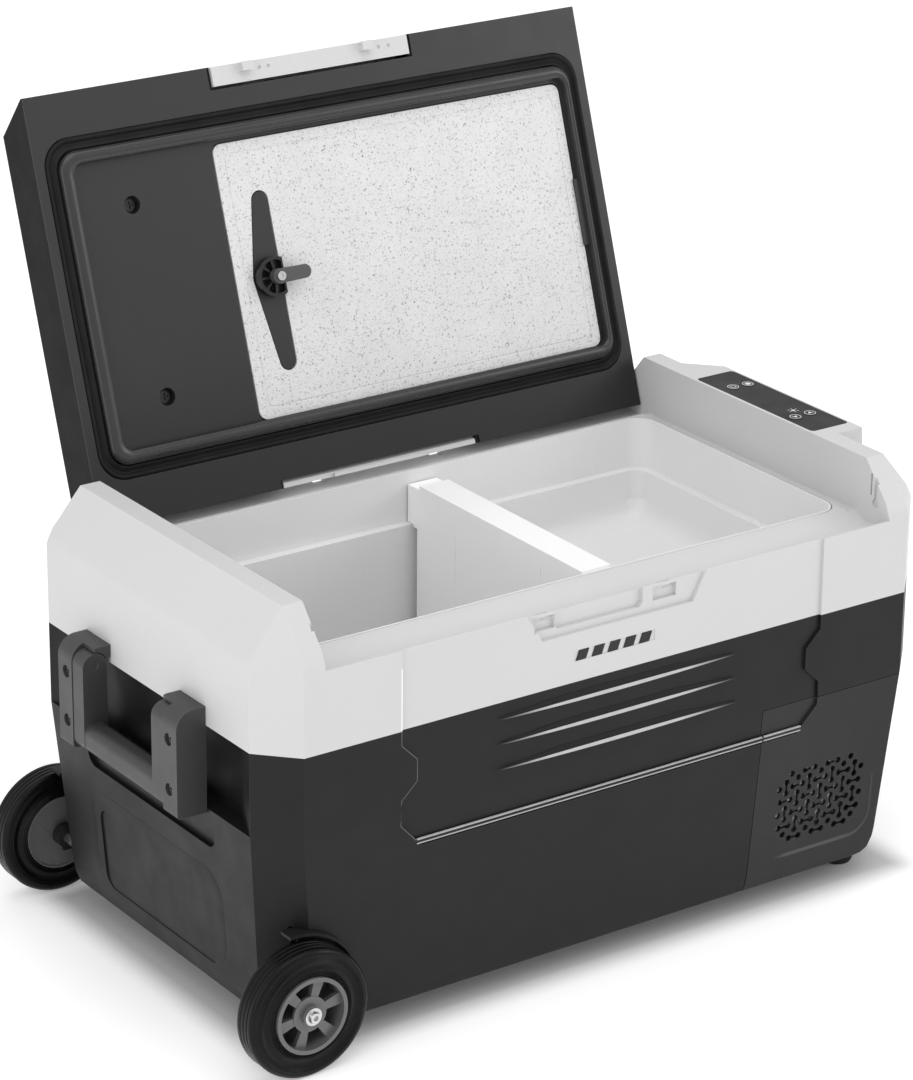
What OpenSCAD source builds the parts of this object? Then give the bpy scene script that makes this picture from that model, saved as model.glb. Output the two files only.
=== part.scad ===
// Two-compartment compressor cool box with a reversible lid, carry handles and transport wheels.
// Frame: X right along the box, Y to the back, Z up. Origin at the centre of the flat base
// plate's underside.

/* [Overall] */
// Length of the cabinet body, without handles and wheels
body_l = 670; // [640:1:700]
// Depth of the cabinet body, front face to back face
body_w = 377.4; // [370:0.2:390]
// Height of the ledge where the lower shell stops tapering
ledge_z = 176.4; // [170:0.1:180]
// Height of the joint between the dark shell and the light collar
collar_z = 248.6; // [244:0.1:252]
// Height of the rim's outer edge
rim_z = 317.5; // [317:0.1:318]
// Height of the two end blocks
block_z = 364.7; // [362:0.1:366]
// Gap between the feet's resting plane and the base plate
ground_gap = 18.65; // [16:0.05:22]

/* [Lower shell] */
// How far the ends draw in from the ledge to the base
taper_x = 14.7; // [10:0.1:16]
// How far the front and back draw in from the ledge to the base
taper_y = 10.5; // [8:0.1:12]
// Chamfer of the vertical corners along X
chamfer_x = 30.4; // [26:0.1:34]
// Chamfer of the vertical corners along Y
chamfer_y = 31.6; // [28:0.1:34]
// Shell wall thickness
wall = 3; // [2.5:0.1:3.2]
// Depth of the recessed centre panel on the front and back
panel_in = 2.5; // [1.5:0.1:2.6]
// Depth of the hand recess behind each handle
hand_in = 17; // [12:0.5:18]
// Half width of the recessed centre panel at the collar
panel_hx = 213; // [200:1:220]

/* [Vents] */
// Pitch of the dumbbell perforations
vent_pitch = 12.6; // [12.2:0.1:13]
// Radius of each perforation's round ends
vent_r = 3.1; // [2.4:0.1:3.3]

/* [Cavity and liner] */
// Half length of the cavity at the rim
cavity_hx = 270; // [269:0.5:270]
// Half depth of the cavity at the rim
cavity_hy = 137; // [136:0.5:137]
// Height of the ledge running round the cavity
cavity_ledge = 270; // [266:0.5:271]
// Floor height of the deep left compartment
deep_floor = 50; // [49:0.5:70]
// Floor height of the shallow right compartment
high_floor = 225; // [224:0.5:228]
// Left face of the divider
div_x0 = 13; // [10:0.5:14]
// Thickness of the divider
div_t = 30; // [20:0.5:31]

/* [Lid] */
// How far the lid stands open at rest, in degrees from closed
lid_open = 108.5; // [0:0.5:108.5]
// Half length of the lid
lid_hx = 282.7; // [281:0.1:283]
// Half depth of the lid
lid_hy = 182.5; // [182:0.1:182.5]
// Underside of the closed lid
lid_z = 318.7; // [318.7:0.1:319]
// Top of the closed lid
lid_top = 363.5; // [362:0.1:364]
// Lid hinge axis, distance behind the centre
hinge_y = 169.3; // [169:0.1:169.6]
// Lid hinge axis height
hinge_z = 328.3; // [328:0.1:328.6]
// Radius of the hinge pins
hinge_r = 4; // [3:0.1:4]
// Thickness of the cutting board
board_t = 5; // [4:0.1:5.2]

/* [Running gear] */
// Radius of the wheels
wheel_r = 55.65; // [50:0.05:56]
// Axle position along X
axle_x = -313.2; // [-314:0.1:-312]
// Radius of the axle
axle_r = 5; // [4:0.1:6]
// Radial running clearance of pins, shafts and axles
run = 0.06; // [0.03:0.01:0.09]

/* [Handles] */
// Handle pivot distance from the end face
pivot_out = 15.5; // [15:0.1:16]
// Handle pivot height
pivot_z = 249; // [247.5:0.5:250]
// Radius of the handle pivot pins
pivot_r = 3; // [2.5:0.1:4]
// Half width of the handle opening
grip_hy = 54; // [50:0.5:54]

/* [Hidden] */
eps = 0.01;                           // thickness of the slices that shape a hull
half_l = body_l / 2;
half_w = body_w / 2;
axle_z = wheel_r - ground_gap;
tilt_x = atan(taper_x / ledge_z);     // lean of the tapered end faces
tilt_y = atan(taper_y / ledge_z);     // lean of the tapered front and back
fixed_fit = 0.03;                     // clearance of pins in the parts that hold them

// places in plan, [x, y]
feet_at = [[285, 140], [285, -140]];
drain_at = [-225, 85];
lid_screws_at = [[-197, -80], [-197, 84], [197, -80], [197, 84]];
hooks_x = [-68, 55];                  // latch hooks along X

c_dark = [0.20, 0.20, 0.21];
c_light = [0.84, 0.84, 0.84];
c_white = [0.90, 0.90, 0.90];
c_lid = [0.30, 0.30, 0.31];
c_lid_liner = [0.27, 0.27, 0.28];
c_black = [0.06, 0.06, 0.06];
c_foam = [0.93, 0.90, 0.80];
c_steel = [0.70, 0.70, 0.72];
c_bracket = [0.24, 0.24, 0.25];
c_handle = [0.22, 0.22, 0.23];
c_hub = [0.5, 0.5, 0.51];

// ---------- shared helpers ----------
// box between two corners
module box(x0, y0, z0, x1, y1, z1) translate([x0, y0, z0]) cube([x1 - x0, y1 - y0, z1 - z0]);

// outline in (x, y) drawn along Z, in (y, z) along X, and in (x, z) along Y
module along_z(z0, z1) translate([0, 0, z0]) linear_extrude(z1 - z0) children();
module along_x(x0, x1) translate([x0, 0, 0]) rotate([90, 0, 90]) linear_extrude(x1 - x0) children();
module along_y(y0, y1) translate([0, y1, 0]) rotate([90, 0, 0]) linear_extrude(y1 - y0) children();
// thin slice of an outline, for hulls
module slice(z) along_z(z, z + eps) children();

module cyl_x(x0, x1, y, z, radius)
  translate([x0, y, z]) rotate([0, 90, 0]) cylinder(h = x1 - x0, r = radius, $fn = 48);
module cyl_y(y0, y1, x, z, radius)
  translate([x, y0, z]) rotate([-90, 0, 0]) cylinder(h = y1 - y0, r = radius, $fn = 48);

module rounded_rect(x0, y0, x1, y1, radius) {
  translate([x0 + radius, y0]) square([x1 - x0 - 2 * radius, y1 - y0]);
  translate([x0, y0 + radius]) square([x1 - x0, y1 - y0 - 2 * radius]);
  for (x = [x0 + radius, x1 - radius], y = [y0 + radius, y1 - radius])
    translate([x, y]) circle(radius, $fn = 48);
}
module rounded_box(x0, y0, x1, y1, radius, z0, z1)
  along_z(z0, z1) rounded_rect(x0, y0, x1, y1, radius);
// rounded box centred on the Z axis
module rounded_slab(half_x, half_y, radius, z0, z1)
  rounded_box(-half_x, -half_y, half_x, half_y, radius, z0, z1);

// children moved to one place in plan, or repeated at several
module at(place) translate([place[0], place[1], 0]) children();
module at_each(places) for (place = places) at(place) children();

// children and their copy: mirrored in X, mirrored in Y, or turned half round
module both_ends() {
  children();
  mirror([1, 0, 0]) children();
}
module both_sides() {
  children();
  mirror([0, 1, 0]) children();
}
module both_turns() {
  children();
  rotate([0, 0, 180]) children();
}

// closes a right-hand outline with its mirror image in the first coordinate
function mirrored(points) =
  concat(points, [for (i = [len(points) - 1:-1:0]) [-points[i][0], points[i][1]]]);
function mix(from, to, share) = from + (to - from) * share;

// cabinet plan with chamfered corners, drawn in by in_x and in_y, its chamfers shortened by cut
module cabinet_plan(in_x = 0, in_y = 0, cut = 0) {
  x = half_l - in_x;
  y = half_w - in_y;
  corner_x = x - chamfer_x + cut;
  corner_y = y - chamfer_y + cut;
  polygon([[corner_x, -y], [x, -corner_y], [x, corner_y], [corner_x, y],
    [-corner_x, y], [-x, corner_y], [-x, -corner_y], [-corner_x, -y]]);
}

// ---------- lower shell ----------
// rounding at the foot: [height, draw-in along X, draw-in along Y]
foot_round = [[0, 14, 6], [3, 8, 3.2], [8, 3.5, 1.2], [18, 0.6, 0.2], [27, 0, 0]];
// right edge of the recessed centre panel above the ledge: [x, z]
panel_edge = [[panel_hx, collar_z + 20], [panel_hx, 236], [198, 221], [198, 202],
  [panel_hx, 188], [panel_hx, ledge_z - 3]];
rib_z = [235, 213, 190.6];
seam_top = 155.8;      // compressor cover seam at the ledge
seam_bottom = 149.8;   // the same seam at the base
base_hx = 250;         // raised middle of the base plate
base_hy = 145;
base_corner_r = 12;
drain_hole_r = 10;
foot_bore_r = 2.3;
housing_y = 172;       // inner face of the wheel housings
well_r = 61.3;         // radius of the wheel wells

// power inlet opening in the right end
inlet_y = [39, 101];
inlet_z = [61, 99];

// frames on the tapered faces, turning about their top edge:
// right end with z = 0 at the ledge, front with the cabinet's own z
module on_end_taper() translate([half_l, 0, ledge_z]) rotate([0, tilt_x, 0]) children();
module on_front_taper() translate([0, -half_w, ledge_z]) rotate([tilt_y, 0, 0])
  translate([0, 0, -ledge_z]) children();

// outer form from z0 to z1, drawn in by inset on every side
module shell_form(inset, z0, z1) {
  cut = inset / 3;
  hull() {
    for (step = foot_round) let (z = z0 + step[0], draw = 1 - z / ledge_z)
      slice(z) cabinet_plan(taper_x * draw + inset + step[1], taper_y * draw + inset + step[2], cut);
    slice(ledge_z - eps) cabinet_plan(inset, inset, cut);
  }
  along_z(ledge_z - eps, z1) cabinet_plan(inset, inset, cut);
}

// recess behind the handle, grown into the body
module hand_recess(grow) {
  inner_x = half_l - hand_in - grow;
  edge_x = half_l - 0.5 - grow;
  along_z(ledge_z - grow, collar_z + 20 - grow) polygon([
    [half_l + 1, -158 - grow], [edge_x, -156 - grow], [inner_x, -118 - grow],
    [inner_x, 118 + grow], [edge_x, 156 + grow], [half_l + 1, 158 + grow]]);
}

// finger trough under the handle
module trough(grow) on_end_taper() along_x(-4 - grow, 6)
  rounded_rect(-100 - grow, -36 - grow, 100 + grow, -4.5 + grow, 11 + grow / 2);

// shallow framed panel on each end face
module end_panel() on_end_taper() along_x(-0.7, 4.3) rounded_rect(-88.8, -148, 88.8, -72.3, 12);
module end_pad() on_end_taper() hull() {
  along_x(-1.5, 0.1) rounded_rect(-103, -146, 103, -58, 24);
  along_x(-1.5, 0.9) rounded_rect(-96, -139, 96, -65, 18);
}

// recessed centre panel on the front face, upper part and tapered part
module centre_panel() {
  along_y(-half_w - 2, -half_w + panel_in) polygon(mirrored(panel_edge));
  on_front_taper() along_y(-2, panel_in)
    polygon(mirrored([[panel_hx + 0.4, ledge_z + 0.5], [panel_hx + 0.4, 166], [197, 148.5]]));
  // narrow groove just under the panel's lower edge
  on_front_taper() along_y(-2, 1.2) polygon(mirrored([[195.5, 146.6], [193, 143.8]]));
}

// tapered styling rib, lens shaped with its crest near the lower edge
module rib(left, right, z) {
  middle = (left + right) / 2;
  root_y = -half_w + panel_in;
  hull() {
    along_y(root_y - 0.4, root_y + 0.4) polygon([
      [left, z], [middle - 60, z - 4.4], [middle + 60, z - 4.4],
      [right, z], [middle + 60, z + 5], [middle - 60, z + 5]]);
    along_y(-half_w + 0.1, -half_w + 0.4) polygon([
      [left + 14, z - 0.6], [middle - 55, z - 3.2], [middle + 55, z - 3.2], [right - 14, z - 0.6]]);
  }
}

module wheel_well(grow) both_sides()
  cyl_y(-half_w - 4, -housing_y + 0.2 + grow, axle_x, axle_z, well_r + grow);

// space inside the shell walls
module shell_inside() difference() {
  shell_form(wall, wall, collar_z + 1);
  both_ends() {
    hand_recess(wall - 0.4);
    trough(wall - 0.4);
  }
  wheel_well(wall);
  // bosses that carry the axle
  both_sides() cyl_y(-172, -150, axle_x, axle_z, 11);
  // thicker wall behind the centre panels
  both_turns() box(-217, -half_w - 1, 141, 217, -181.4, 260);
}

// lower shell and compressor cover in one piece
module shell_body() difference() {
  union() {
    shell_form(0, 0, collar_z);
    both_ends() end_pad();
  }
  both_ends() {
    hand_recess(0);
    trough(0);
    end_panel();
  }
  both_turns() centre_panel();
  wheel_well(0);
  shell_inside();
  // opening for the base plate's raised middle
  rounded_slab(base_hx + 0.5, base_hy + 0.5, base_corner_r + 0.5, -1, wall + 1);
}

// region to the right of the slanted seam, drawn back from the seam by gap
module cover_region(gap, bottom) along_y(-half_w - 10, half_w + 10) polygon([
  [seam_top + gap, ledge_z - 3 - gap], [half_l + 20, ledge_z - 3 - gap],
  [half_l + 20, bottom], [seam_bottom + gap, bottom]]);
// part of the shell's floor under the cover
module cover_floor(in_x, in_y)
  box(seam_bottom - 1, -half_w + in_y, -2, half_l - in_x, half_w - in_y, wall + 1);

module lower_shell() color(c_dark) {
  difference() {
    shell_body();
    cover_region(0, wall + 0.3);
    // the floor keeps its full length, the cover's walls stop above it
    difference() {
      box(seam_bottom, -half_w - 10, -1, half_l + 20, half_w + 10, wall + 0.31);
      cover_floor(32, 24);
    }
    cyl_y(-half_w - 1, half_w + 1, axle_x, axle_z, axle_r + 0.3);
    at_each(feet_at) translate([0, 0, -1]) cylinder(h = 6, r = foot_bore_r, $fn = 24);
    at(drain_at) translate([0, 0, -1]) cylinder(h = 6, r = drain_hole_r, $fn = 32);
  }
  for (i = [0:2]) rib(-120 + 2 * i, 120 + 3 * i, rib_z[i]);
}

// ---------- compressor cover ----------
vent_span = 10.6;         // between the two ends of a dumbbell
vent_centre = [225.1, 73.7];
slot_pitch = 9.4;         // of the air outlet slots
slot_h = 4.6;

module vent_dot(x, z) translate([x, z]) rotate(22.5) circle(vent_r, $fn = 8);
module dumbbell() {
  for (side = [-1, 1]) vent_dot(side * vent_span / 2, 0);
  square([vent_span, 2], center = true);
}
// dumbbells, alternately level and upright; single dots where the field's edge cuts one short
module vent_field(columns, rows)
  for (i = [-1:columns], j = [0:rows - 1]) let (
    level = (i + j + 1) % 2 == 0,
    x = (i - (columns - 1) / 2) * vent_pitch,
    z = (j - (rows - 1) / 2) * vent_pitch,
    inward_x = (i <= 0 ? 1 : -1) * vent_span / 2,
    inward_z = (j == 0 ? 1 : -1) * vent_span / 2,
    outside = i < 0 || i == columns,
    top_corner = (i == 0 || i == columns - 1) && j == rows - 1
  ) {
    if (outside || top_corner) {
      if (level && (top_corner || (j > 1 && j < rows - 1))) vent_dot(x + inward_x, z);
    }
    else if (!level && (j == 0 || j == rows - 1)) vent_dot(x, z + inward_z);
    else translate([x, z]) rotate(level ? 0 : 90) dumbbell();
  }

module compressor_cover() color(c_dark) difference() {
  intersection() {
    difference() {
      shell_body();
      cover_floor(31.7, 23.6);
    }
    cover_region(0.7, -5);
  }
  // perforated air inlet on the front
  along_y(-half_w - 5, -half_w + 15) translate(vent_centre) vent_field(7, 6);
  // slotted air outlet on the back
  for (i = [0:8]) let (z = 32 + i * slot_pitch)
    box(182, half_w - 15, z, 272, half_w + 5, z + slot_h);
  // opening for the power inlet
  box(half_l - 30, inlet_y[0] - 0.4, inlet_z[0] - 0.4, half_l + 5, inlet_y[1] + 0.4, inlet_z[1] + 0.4);
}

module base_plate() color(c_steel) difference() {
  union() {
    rounded_slab(base_hx, base_hy, base_corner_r, 0, wall + 0.2);
    rounded_slab(base_hx + 12, base_hy + 12, 18, wall + 0.2, wall + 2.2);
  }
  at(drain_at) translate([0, 0, -1]) cylinder(h = 10, r = drain_hole_r, $fn = 32);
}

// ---------- collar ----------
shoulder_z = 325.1;          // shoulder of the end blocks
block_in = 284;              // inner face of the end blocks
ridge_x = half_l - 32.3;     // outer edge of the block ridge
ridge_y = half_w - 33.8;     // end of the block ridge
gutter_r = 34;               // rim gutter
gutter_y = (cavity_hy + half_w) / 2 + 0.2;
gutter_z = rim_z - 9 + gutter_r;
// rounding of the shoulder: [height from shoulder_z, share of the way to the ridge, inset]
shoulder_round = [[-7, 0, 0], [-3.6, 0, 0.6], [-0.6, 0, 1.7], [3.4, 0.086, 1.1], [7, 0.177, 0.1]];

// plan of the right block: share runs from its shoulder to its ridge
module block_plan(share, inset) {
  side = [mix(half_l - chamfer_x, ridge_x, share) - inset * 0.3,
    mix(half_w, ridge_y, share) - inset];
  end = [mix(half_l, ridge_x, share) - inset,
    mix(half_w - chamfer_y, ridge_y, share) - inset * 0.3];
  polygon([[block_in + inset, -side[1]], [side[0], -side[1]], [end[0], -end[1]],
    [end[0], end[1]], [side[0], side[1]], [block_in + inset, side[1]]]);
}
module block(inset) hull() {
  for (step = shoulder_round)
    slice(shoulder_z + step[0] - eps) block_plan(step[1], inset + step[2]);
  top_x = ridge_x - inset * 0.4;
  top_y = ridge_y - inset * 0.4;
  slice(block_z - inset * 0.9 - eps) polygon([
    [block_in + inset, -top_y], [top_x, -top_y], [top_x, top_y], [block_in + inset, top_y]]);
}

// housing of the control panel on the right block; its outer back corner is cut off
module house_plan(inset, front_y, right_x, cut_x, cut_y, back_y) polygon([
  [block_in + inset, front_y + inset], [right_x - inset, front_y + inset],
  [right_x - inset, cut_y - inset], [cut_x - inset, back_y - inset],
  [block_in + inset, back_y - inset]]);
module panel_house(inset) hull() {
  translate([0, 0, 330]) linear_extrude(0.1) house_plan(inset, -96, 331.5, 305, 97, 124);
  translate([0, 0, block_z - 0.1 - inset * 0.9]) linear_extrude(0.1)
    house_plan(inset, -95.5, 329.8, 303.5, 95, 122.5);
}

// latch recess in the front: trapezoid, deeper middle, two windows and the hook slots
module latch_recess() {
  front_y = -half_w - 2;
  top_z = rim_z + 2;
  along_y(front_y, -half_w + panel_in + 3.2)
    polygon([[-75.4, 291.5], [76.7, 291.5], [91.8, top_z], [-93, top_z]]);
  along_y(front_y, -half_w + panel_in + 7)
    polygon([[-58, 297.5], [24, 297.5], [27, 301], [27, top_z], [-62, top_z], [-62, 301]]);
  for (window = [[-84, -62.2], [37, 61]]) box(window[0], front_y, 300, window[1], -179.8, 312);
  for (x = hooks_x) box(x - 6.3, -180.6, 307.5, x + 6.3, -170.6, top_z);
}

module collar_body() {
  along_z(collar_z, rim_z) cabinet_plan();
  both_ends() {
    intersection() {
      along_z(collar_z + 1, shoulder_z - 7.005) cabinet_plan();
      box(block_in, -half_w - 1, collar_z, half_l + 1, half_w + 1, shoulder_z + 1);
    }
    block(0);
  }
  panel_house(0);
}

// gutters of the rim
module rim_gutters() {
  // concave ones along the front and back, between the end blocks
  both_sides() translate([-block_in, -gutter_y, gutter_z]) rotate([0, 90, 0])
    cylinder(h = 2 * block_in, r = gutter_r, $fn = 96);
  // narrow ones beside the end blocks
  both_ends() box(cavity_hx + 3.9, -158, rim_z - 3.4, block_in, 158, rim_z + 1);
  box(-block_in, -cavity_hy - 3.9, rim_z - 1, block_in, cavity_hy + 3.9, rim_z + 1);
}

// hollows inside the collar walls, the end blocks and the control panel housing
module collar_hollows() {
  difference() {
    along_z(collar_z - 1, 304.6) cabinet_plan(wall, wall, 1);
    rounded_slab(cavity_hx + 5.5, cavity_hy + 5.5, 23, collar_z - 2, 310);
    // thicker wall behind the latch recesses and the centre panels
    both_turns() along_y(-half_w - 2, -half_w + panel_in + 9.5)
      polygon(mirrored([[88, 289], [98, rim_z + 2]]));
    both_turns() box(-217, -half_w - 1, collar_z - 2, 217, -half_w + 5.6, 310);
  }
  both_ends() {
    intersection() {
      along_z(304, shoulder_z - 6) cabinet_plan(wall, wall + 15, 1);
      box(block_in + wall, -half_w, 300, half_l, half_w - 35, shoulder_z + 1);
    }
    intersection() {
      block(wall);
      box(block_in, -150, 300, half_l, 150, 400);
    }
  }
  panel_house(wall);
}

module collar() color(c_light) difference() {
  collar_body();
  // cavity
  rounded_slab(cavity_hx + 3, cavity_hy + 3, 21, collar_z - 5, 400);
  rim_gutters();
  collar_hollows();
  // recessed centre panel and latch recess, front and back
  both_turns() {
    along_y(-half_w - 2, -half_w + panel_in)
      polygon(mirrored([[panel_hx, collar_z - 1], [panel_hx, rim_z + 2]]));
    latch_recess();
  }
  // hinge bores at the back, keyhole pockets at the front
  both_ends() {
    cyl_x(block_in - 1, block_in + 9, hinge_y, hinge_z, hinge_r + run);
    along_x(block_in - 1, block_in + 2.4) translate([-hinge_y, hinge_z]) {
      translate([0, -0.5]) circle(4.2, $fn = 32);
      translate([-2.2, 0]) square([4.4, 24]);
      translate([5, 5]) square([2, 20]);
    }
  }
  // control panel recess and the opening under it
  overlay_slab(0.2, block_z - 1.3, block_z + 1);
  rounded_box(291, -72, 325, 74, 3, block_z - 6, block_z + 1);
  // shallow seat for the emblem
  along_y(-half_w, -half_w + panel_in + 0.6) translate([-44, 266.8]) square([82, 9.4]);
}

// ---------- cabinet inside ----------
liner_t = 2;
// rounding where the floors meet the walls: [height, draw-in]
deep_round = [[0, 12], [3, 5], [9, 1.2], [16, 0]];
high_round = [[0, 14], [3, 6.5], [9, 2], [18, 0]];

// one compartment; a fixed left side is neither grown nor rounded
module compartment(left, right, floor_z, rounding, grow, left_fixed = false) {
  half_y = 129 + grow;
  radius = 14 + grow;
  bottom = floor_z - grow;
  round_h = rounding[len(rounding) - 1][0];
  hull() for (step = rounding) let (inset = step[1], z = bottom + step[0])
    rounded_box(left + (left_fixed ? 0 : inset - grow), -half_y + inset,
      right + grow - inset, half_y - inset, radius, z, z + 0.1);
  rounded_box(left - (left_fixed ? 0 : grow), -half_y, right + grow, half_y, radius,
    bottom + round_h, cavity_ledge + 0.5);
}
// cavity solid, grown outwards by the liner's wall
module cavity(grow) {
  rounded_slab(cavity_hx + grow, cavity_hy + grow, 18 + grow,
    cavity_ledge - (grow > 0 ? 2.4 : 0), rim_z - 1 + (grow > 0 ? 0 : 5));
  compartment(-262, 48, deep_floor, deep_round, grow);
  compartment(20, 262, high_floor, high_round, grow, left_fixed = true);
}
module inner_liner() color(c_light) difference() {
  cavity(liner_t);
  cavity(0);
  at(drain_at) translate([0, 0, deep_floor - 5]) cylinder(h = 10, r = 8.2, $fn = 32);
}

module insulation_panels() color(c_foam) {
  // floor of the deep compartment
  difference() {
    box(-286, -162, 6, 100, 162, 45);
    at(drain_at) cylinder(h = 60, r = 9.5, $fn = 32);
  }
  // left wall, step between the compartments, high floor, right wall
  box(-296, -134, 46, -268.5, 134, 247);
  box(54, -134, 46, 100, 134, 178);
  box(54, -134, 179, 304, 134, 219);
  box(268.5, -134, 220, 304, 134, 247);
  // long walls
  both_sides() {
    box(-296, -167, 46, 100, -135.5, 176);
    box(-304, -181, 178, 304, -135.5, 247);
    box(-270, -175.5, 249.5, 270, -144, 288);
  }
  // ends inside the collar
  box(-330, -150, 249.5, -277, 150, 303);
  box(277, -150, 249.5, 304, 150, 303);
}

// sleeve round the deep compartment
module sleeve_block(inset, z0, z1) rounded_box(-266.6 + inset, -133.6 + inset, 52.6 - inset,
  133.6 - inset, 18 - inset, z0, z1);
module evaporator_plate() color([0.75, 0.76, 0.78]) difference() {
  sleeve_block(0, 80, 215);
  sleeve_block(1.4, 79, 216);
}

// ---------- cooling machinery ----------
compressor_at = [232, 55];
pot_r = 52;            // compressor pot
pot_top_r = 40;
fan_x = 230;
fan_z = 75;
fan_stub_r = 4;        // stub the rotor turns on
pipe_r = 3;
fin_pitch = 6.4;       // of the condenser's openings

module at_mounts() for (x = [-54, 54], y = [-26, 26]) translate([x, y, 0]) children();

module compressor() color(c_black) at(compressor_at) translate([0, 0, 20]) {
  // pot
  translate([0, 0, 6]) cylinder(h = 92, r = pot_r, $fn = 64);
  translate([0, 0, 98]) cylinder(h = 12, r1 = pot_r, r2 = pot_top_r, $fn = 64);
  cylinder(h = 6, r1 = 44, r2 = pot_r, $fn = 64);
  // foot plate
  difference() {
    translate([-62, -34, -6]) cube([124, 68, 4]);
    at_mounts() translate([0, 0, -7]) cylinder(h = 6, r = 4.1, $fn = 24);
  }
  translate([-30, -20, -3]) cube([60, 40, 6]);
  // box on the pot's left side
  translate([-66, -22, 30]) cube([20, 44, 46]);
}
module compressor_mounts() color(c_black)
  at(compressor_at) at_mounts() translate([0, 0, wall + 2.3]) {
    cylinder(h = 8.6, r = 8, $fn = 32);
    cylinder(h = 15, r = 4, $fn = 32);
    translate([0, 0, 12.8]) cylinder(h = 3, r = 7, $fn = 32);
  }

module condenser() color(c_steel) difference() {
  box(176, -166, 24, 286, -142, 128);
  for (i = [0:15]) let (x = 181 + i * fin_pitch) box(x, -168, 29, x + 3.6, -140, 123);
}

module fan_frame() difference() {
  box(182, -140, 27, 278, -114, 123);
  cyl_y(-141, -113, fan_x, fan_z, 44);
  for (x = [187, 273], z = [32, 118]) cyl_y(-141, -113, x, z, 2.2);
}
// hub plate and crossed spokes behind the rotor
module fan_bridge() {
  cyl_y(-117.5, -114.2, fan_x, fan_z, 16);
  for (angle = [45, 135]) translate([fan_x, -115.8, fan_z]) rotate([0, angle, 0])
    cube([92, 3, 6], center = true);
}
module fan_shroud() color(c_black) {
  fan_frame();
  fan_bridge();
  cyl_y(-124.5, -115, fan_x, fan_z, fan_stub_r);
}
module fan_rotor() color([0.12, 0.12, 0.13]) difference() {
  union() {
    cyl_y(-136, -120, fan_x, fan_z, 15);
    for (i = [0:6]) translate([fan_x, -128, fan_z]) rotate([0, i * 360 / 7, 0])
      translate([27, 0, 0]) rotate([32, 0, 0]) cube([29, 2, 17], center = true);
  }
  cyl_y(-125, -119, fan_x, fan_z, fan_stub_r + run);
}

module power_module() color([0.55, 0.56, 0.58]) {
  box(118, 30, 40, 150, 130, 120);
  for (i = [0:7]) let (x = 120 + i * 3.6) box(x, 32, 119.9, x + 1.4, 128, 128);
}

// straight pipes from point to point with round elbows
module pipe_run(points) {
  for (i = [0:len(points) - 2]) let (step = points[i + 1] - points[i], length = norm(step))
    translate(points[i]) rotate([0, acos(step[2] / length), atan2(step[1], step[0])])
      cylinder(h = length, r = pipe_r, $fn = 24);
  for (i = [1:len(points) - 2]) translate(points[i]) sphere(pipe_r, $fn = 24);
}
module refrigerant_lines() color([0.72, 0.45, 0.28]) {
  // compressor to condenser
  pipe_run([[232, 2, 110], [232, -60, 110], [232, -60, 136], [290, -60, 136],
    [290, -154, 136], [287.6, -154, 136]]);
  // compressor to the step in the insulation
  pipe_run([[232, 107.8, 90], [232, 140, 90], [110, 140, 90], [110, 120, 90],
    [110, 120, 150], [101, 120, 150]]);
}
module wiring_harness() color(c_black)
  translate([309.5, 60, 140]) cylinder(h = 209.9, r = 2.4, $fn = 32);
module power_inlet() color(c_black) difference() {
  box(306, inlet_y[0], inlet_z[0], 328.6, inlet_y[1], inlet_z[1]);
  cyl_x(314.6, 330, 56, 80, 5.5);
  box(316, 74, 71, 330, 94, 89);
}

module drain_tube() color(c_light) at(drain_at) difference() {
  union() {
    translate([0, 0, 3]) cylinder(h = deep_floor - 3, r = 7.8, $fn = 32);
    translate([0, 0, 3]) cylinder(h = 2.5, r = 9, $fn = 32);
  }
  translate([0, 0, -1]) cylinder(h = 60, r = 5.6, $fn = 32);
}
module drain_plug() color([0.25, 0.25, 0.26]) at(drain_at) translate([0, 0, deep_floor]) {
  translate([0, 0, -14]) cylinder(h = 15, r = 5.5, $fn = 32);
  translate([0, 0, 0.3]) cylinder(h = 3, r = 10, $fn = 32);
  translate([-1.5, -6, 3]) cube([3, 12, 6]);
}

// ---------- control panel ----------
button_r = 5.8;
// power, mode, down, up: [x, y]
buttons_at = [[301, 47], [317, 46], [298, -43.5], [315, -42.8]];

// plan of the overlay, grown by gap
module overlay_slab(gap, z0, z1)
  rounded_box(287 - gap, -80 - gap, 327.7 + gap, 82 + gap, 4 + gap, z0, z1);

module control_board() color([0.10, 0.35, 0.18])
  rounded_box(291.5, -71, 324.5, 73, 2, 350, 351.6);
module display_module() color([0.08, 0.08, 0.08]) box(297, -22, 351.8, 319, 26, 357.8);
module control_overlay() color(c_black) difference() {
  overlay_slab(0, block_z - 1.2, block_z);
  at_each(buttons_at) translate([0, 0, block_z - 5])
    cylinder(h = 10, r = button_r + 0.1, $fn = 32);
}
// cap, retaining flange and stem
module button(place) color(c_black) at(place) {
  translate([0, 0, block_z - 2]) cylinder(h = 2.35, r = button_r, $fn = 32);
  translate([0, 0, block_z - 2.6]) cylinder(h = 0.7, r = button_r + 1, $fn = 32);
  translate([0, 0, 353]) cylinder(h = block_z - 2.5 - 353, r = 2, $fn = 24);
}
module button_power() button(buttons_at[0]);
module button_mode() button(buttons_at[1]);
module button_down() button(buttons_at[2]);
module button_up() button(buttons_at[3]);

// row of slanted bars
module emblem() color(c_black)
  along_y(-half_w + panel_in - 0.3, -half_w + panel_in + 0.6)
    for (i = [0:4]) translate([-42 + i * 16, 267.2])
      polygon([[0, 0], [10, 0], [13, 8.4], [3, 8.4]]);

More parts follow.
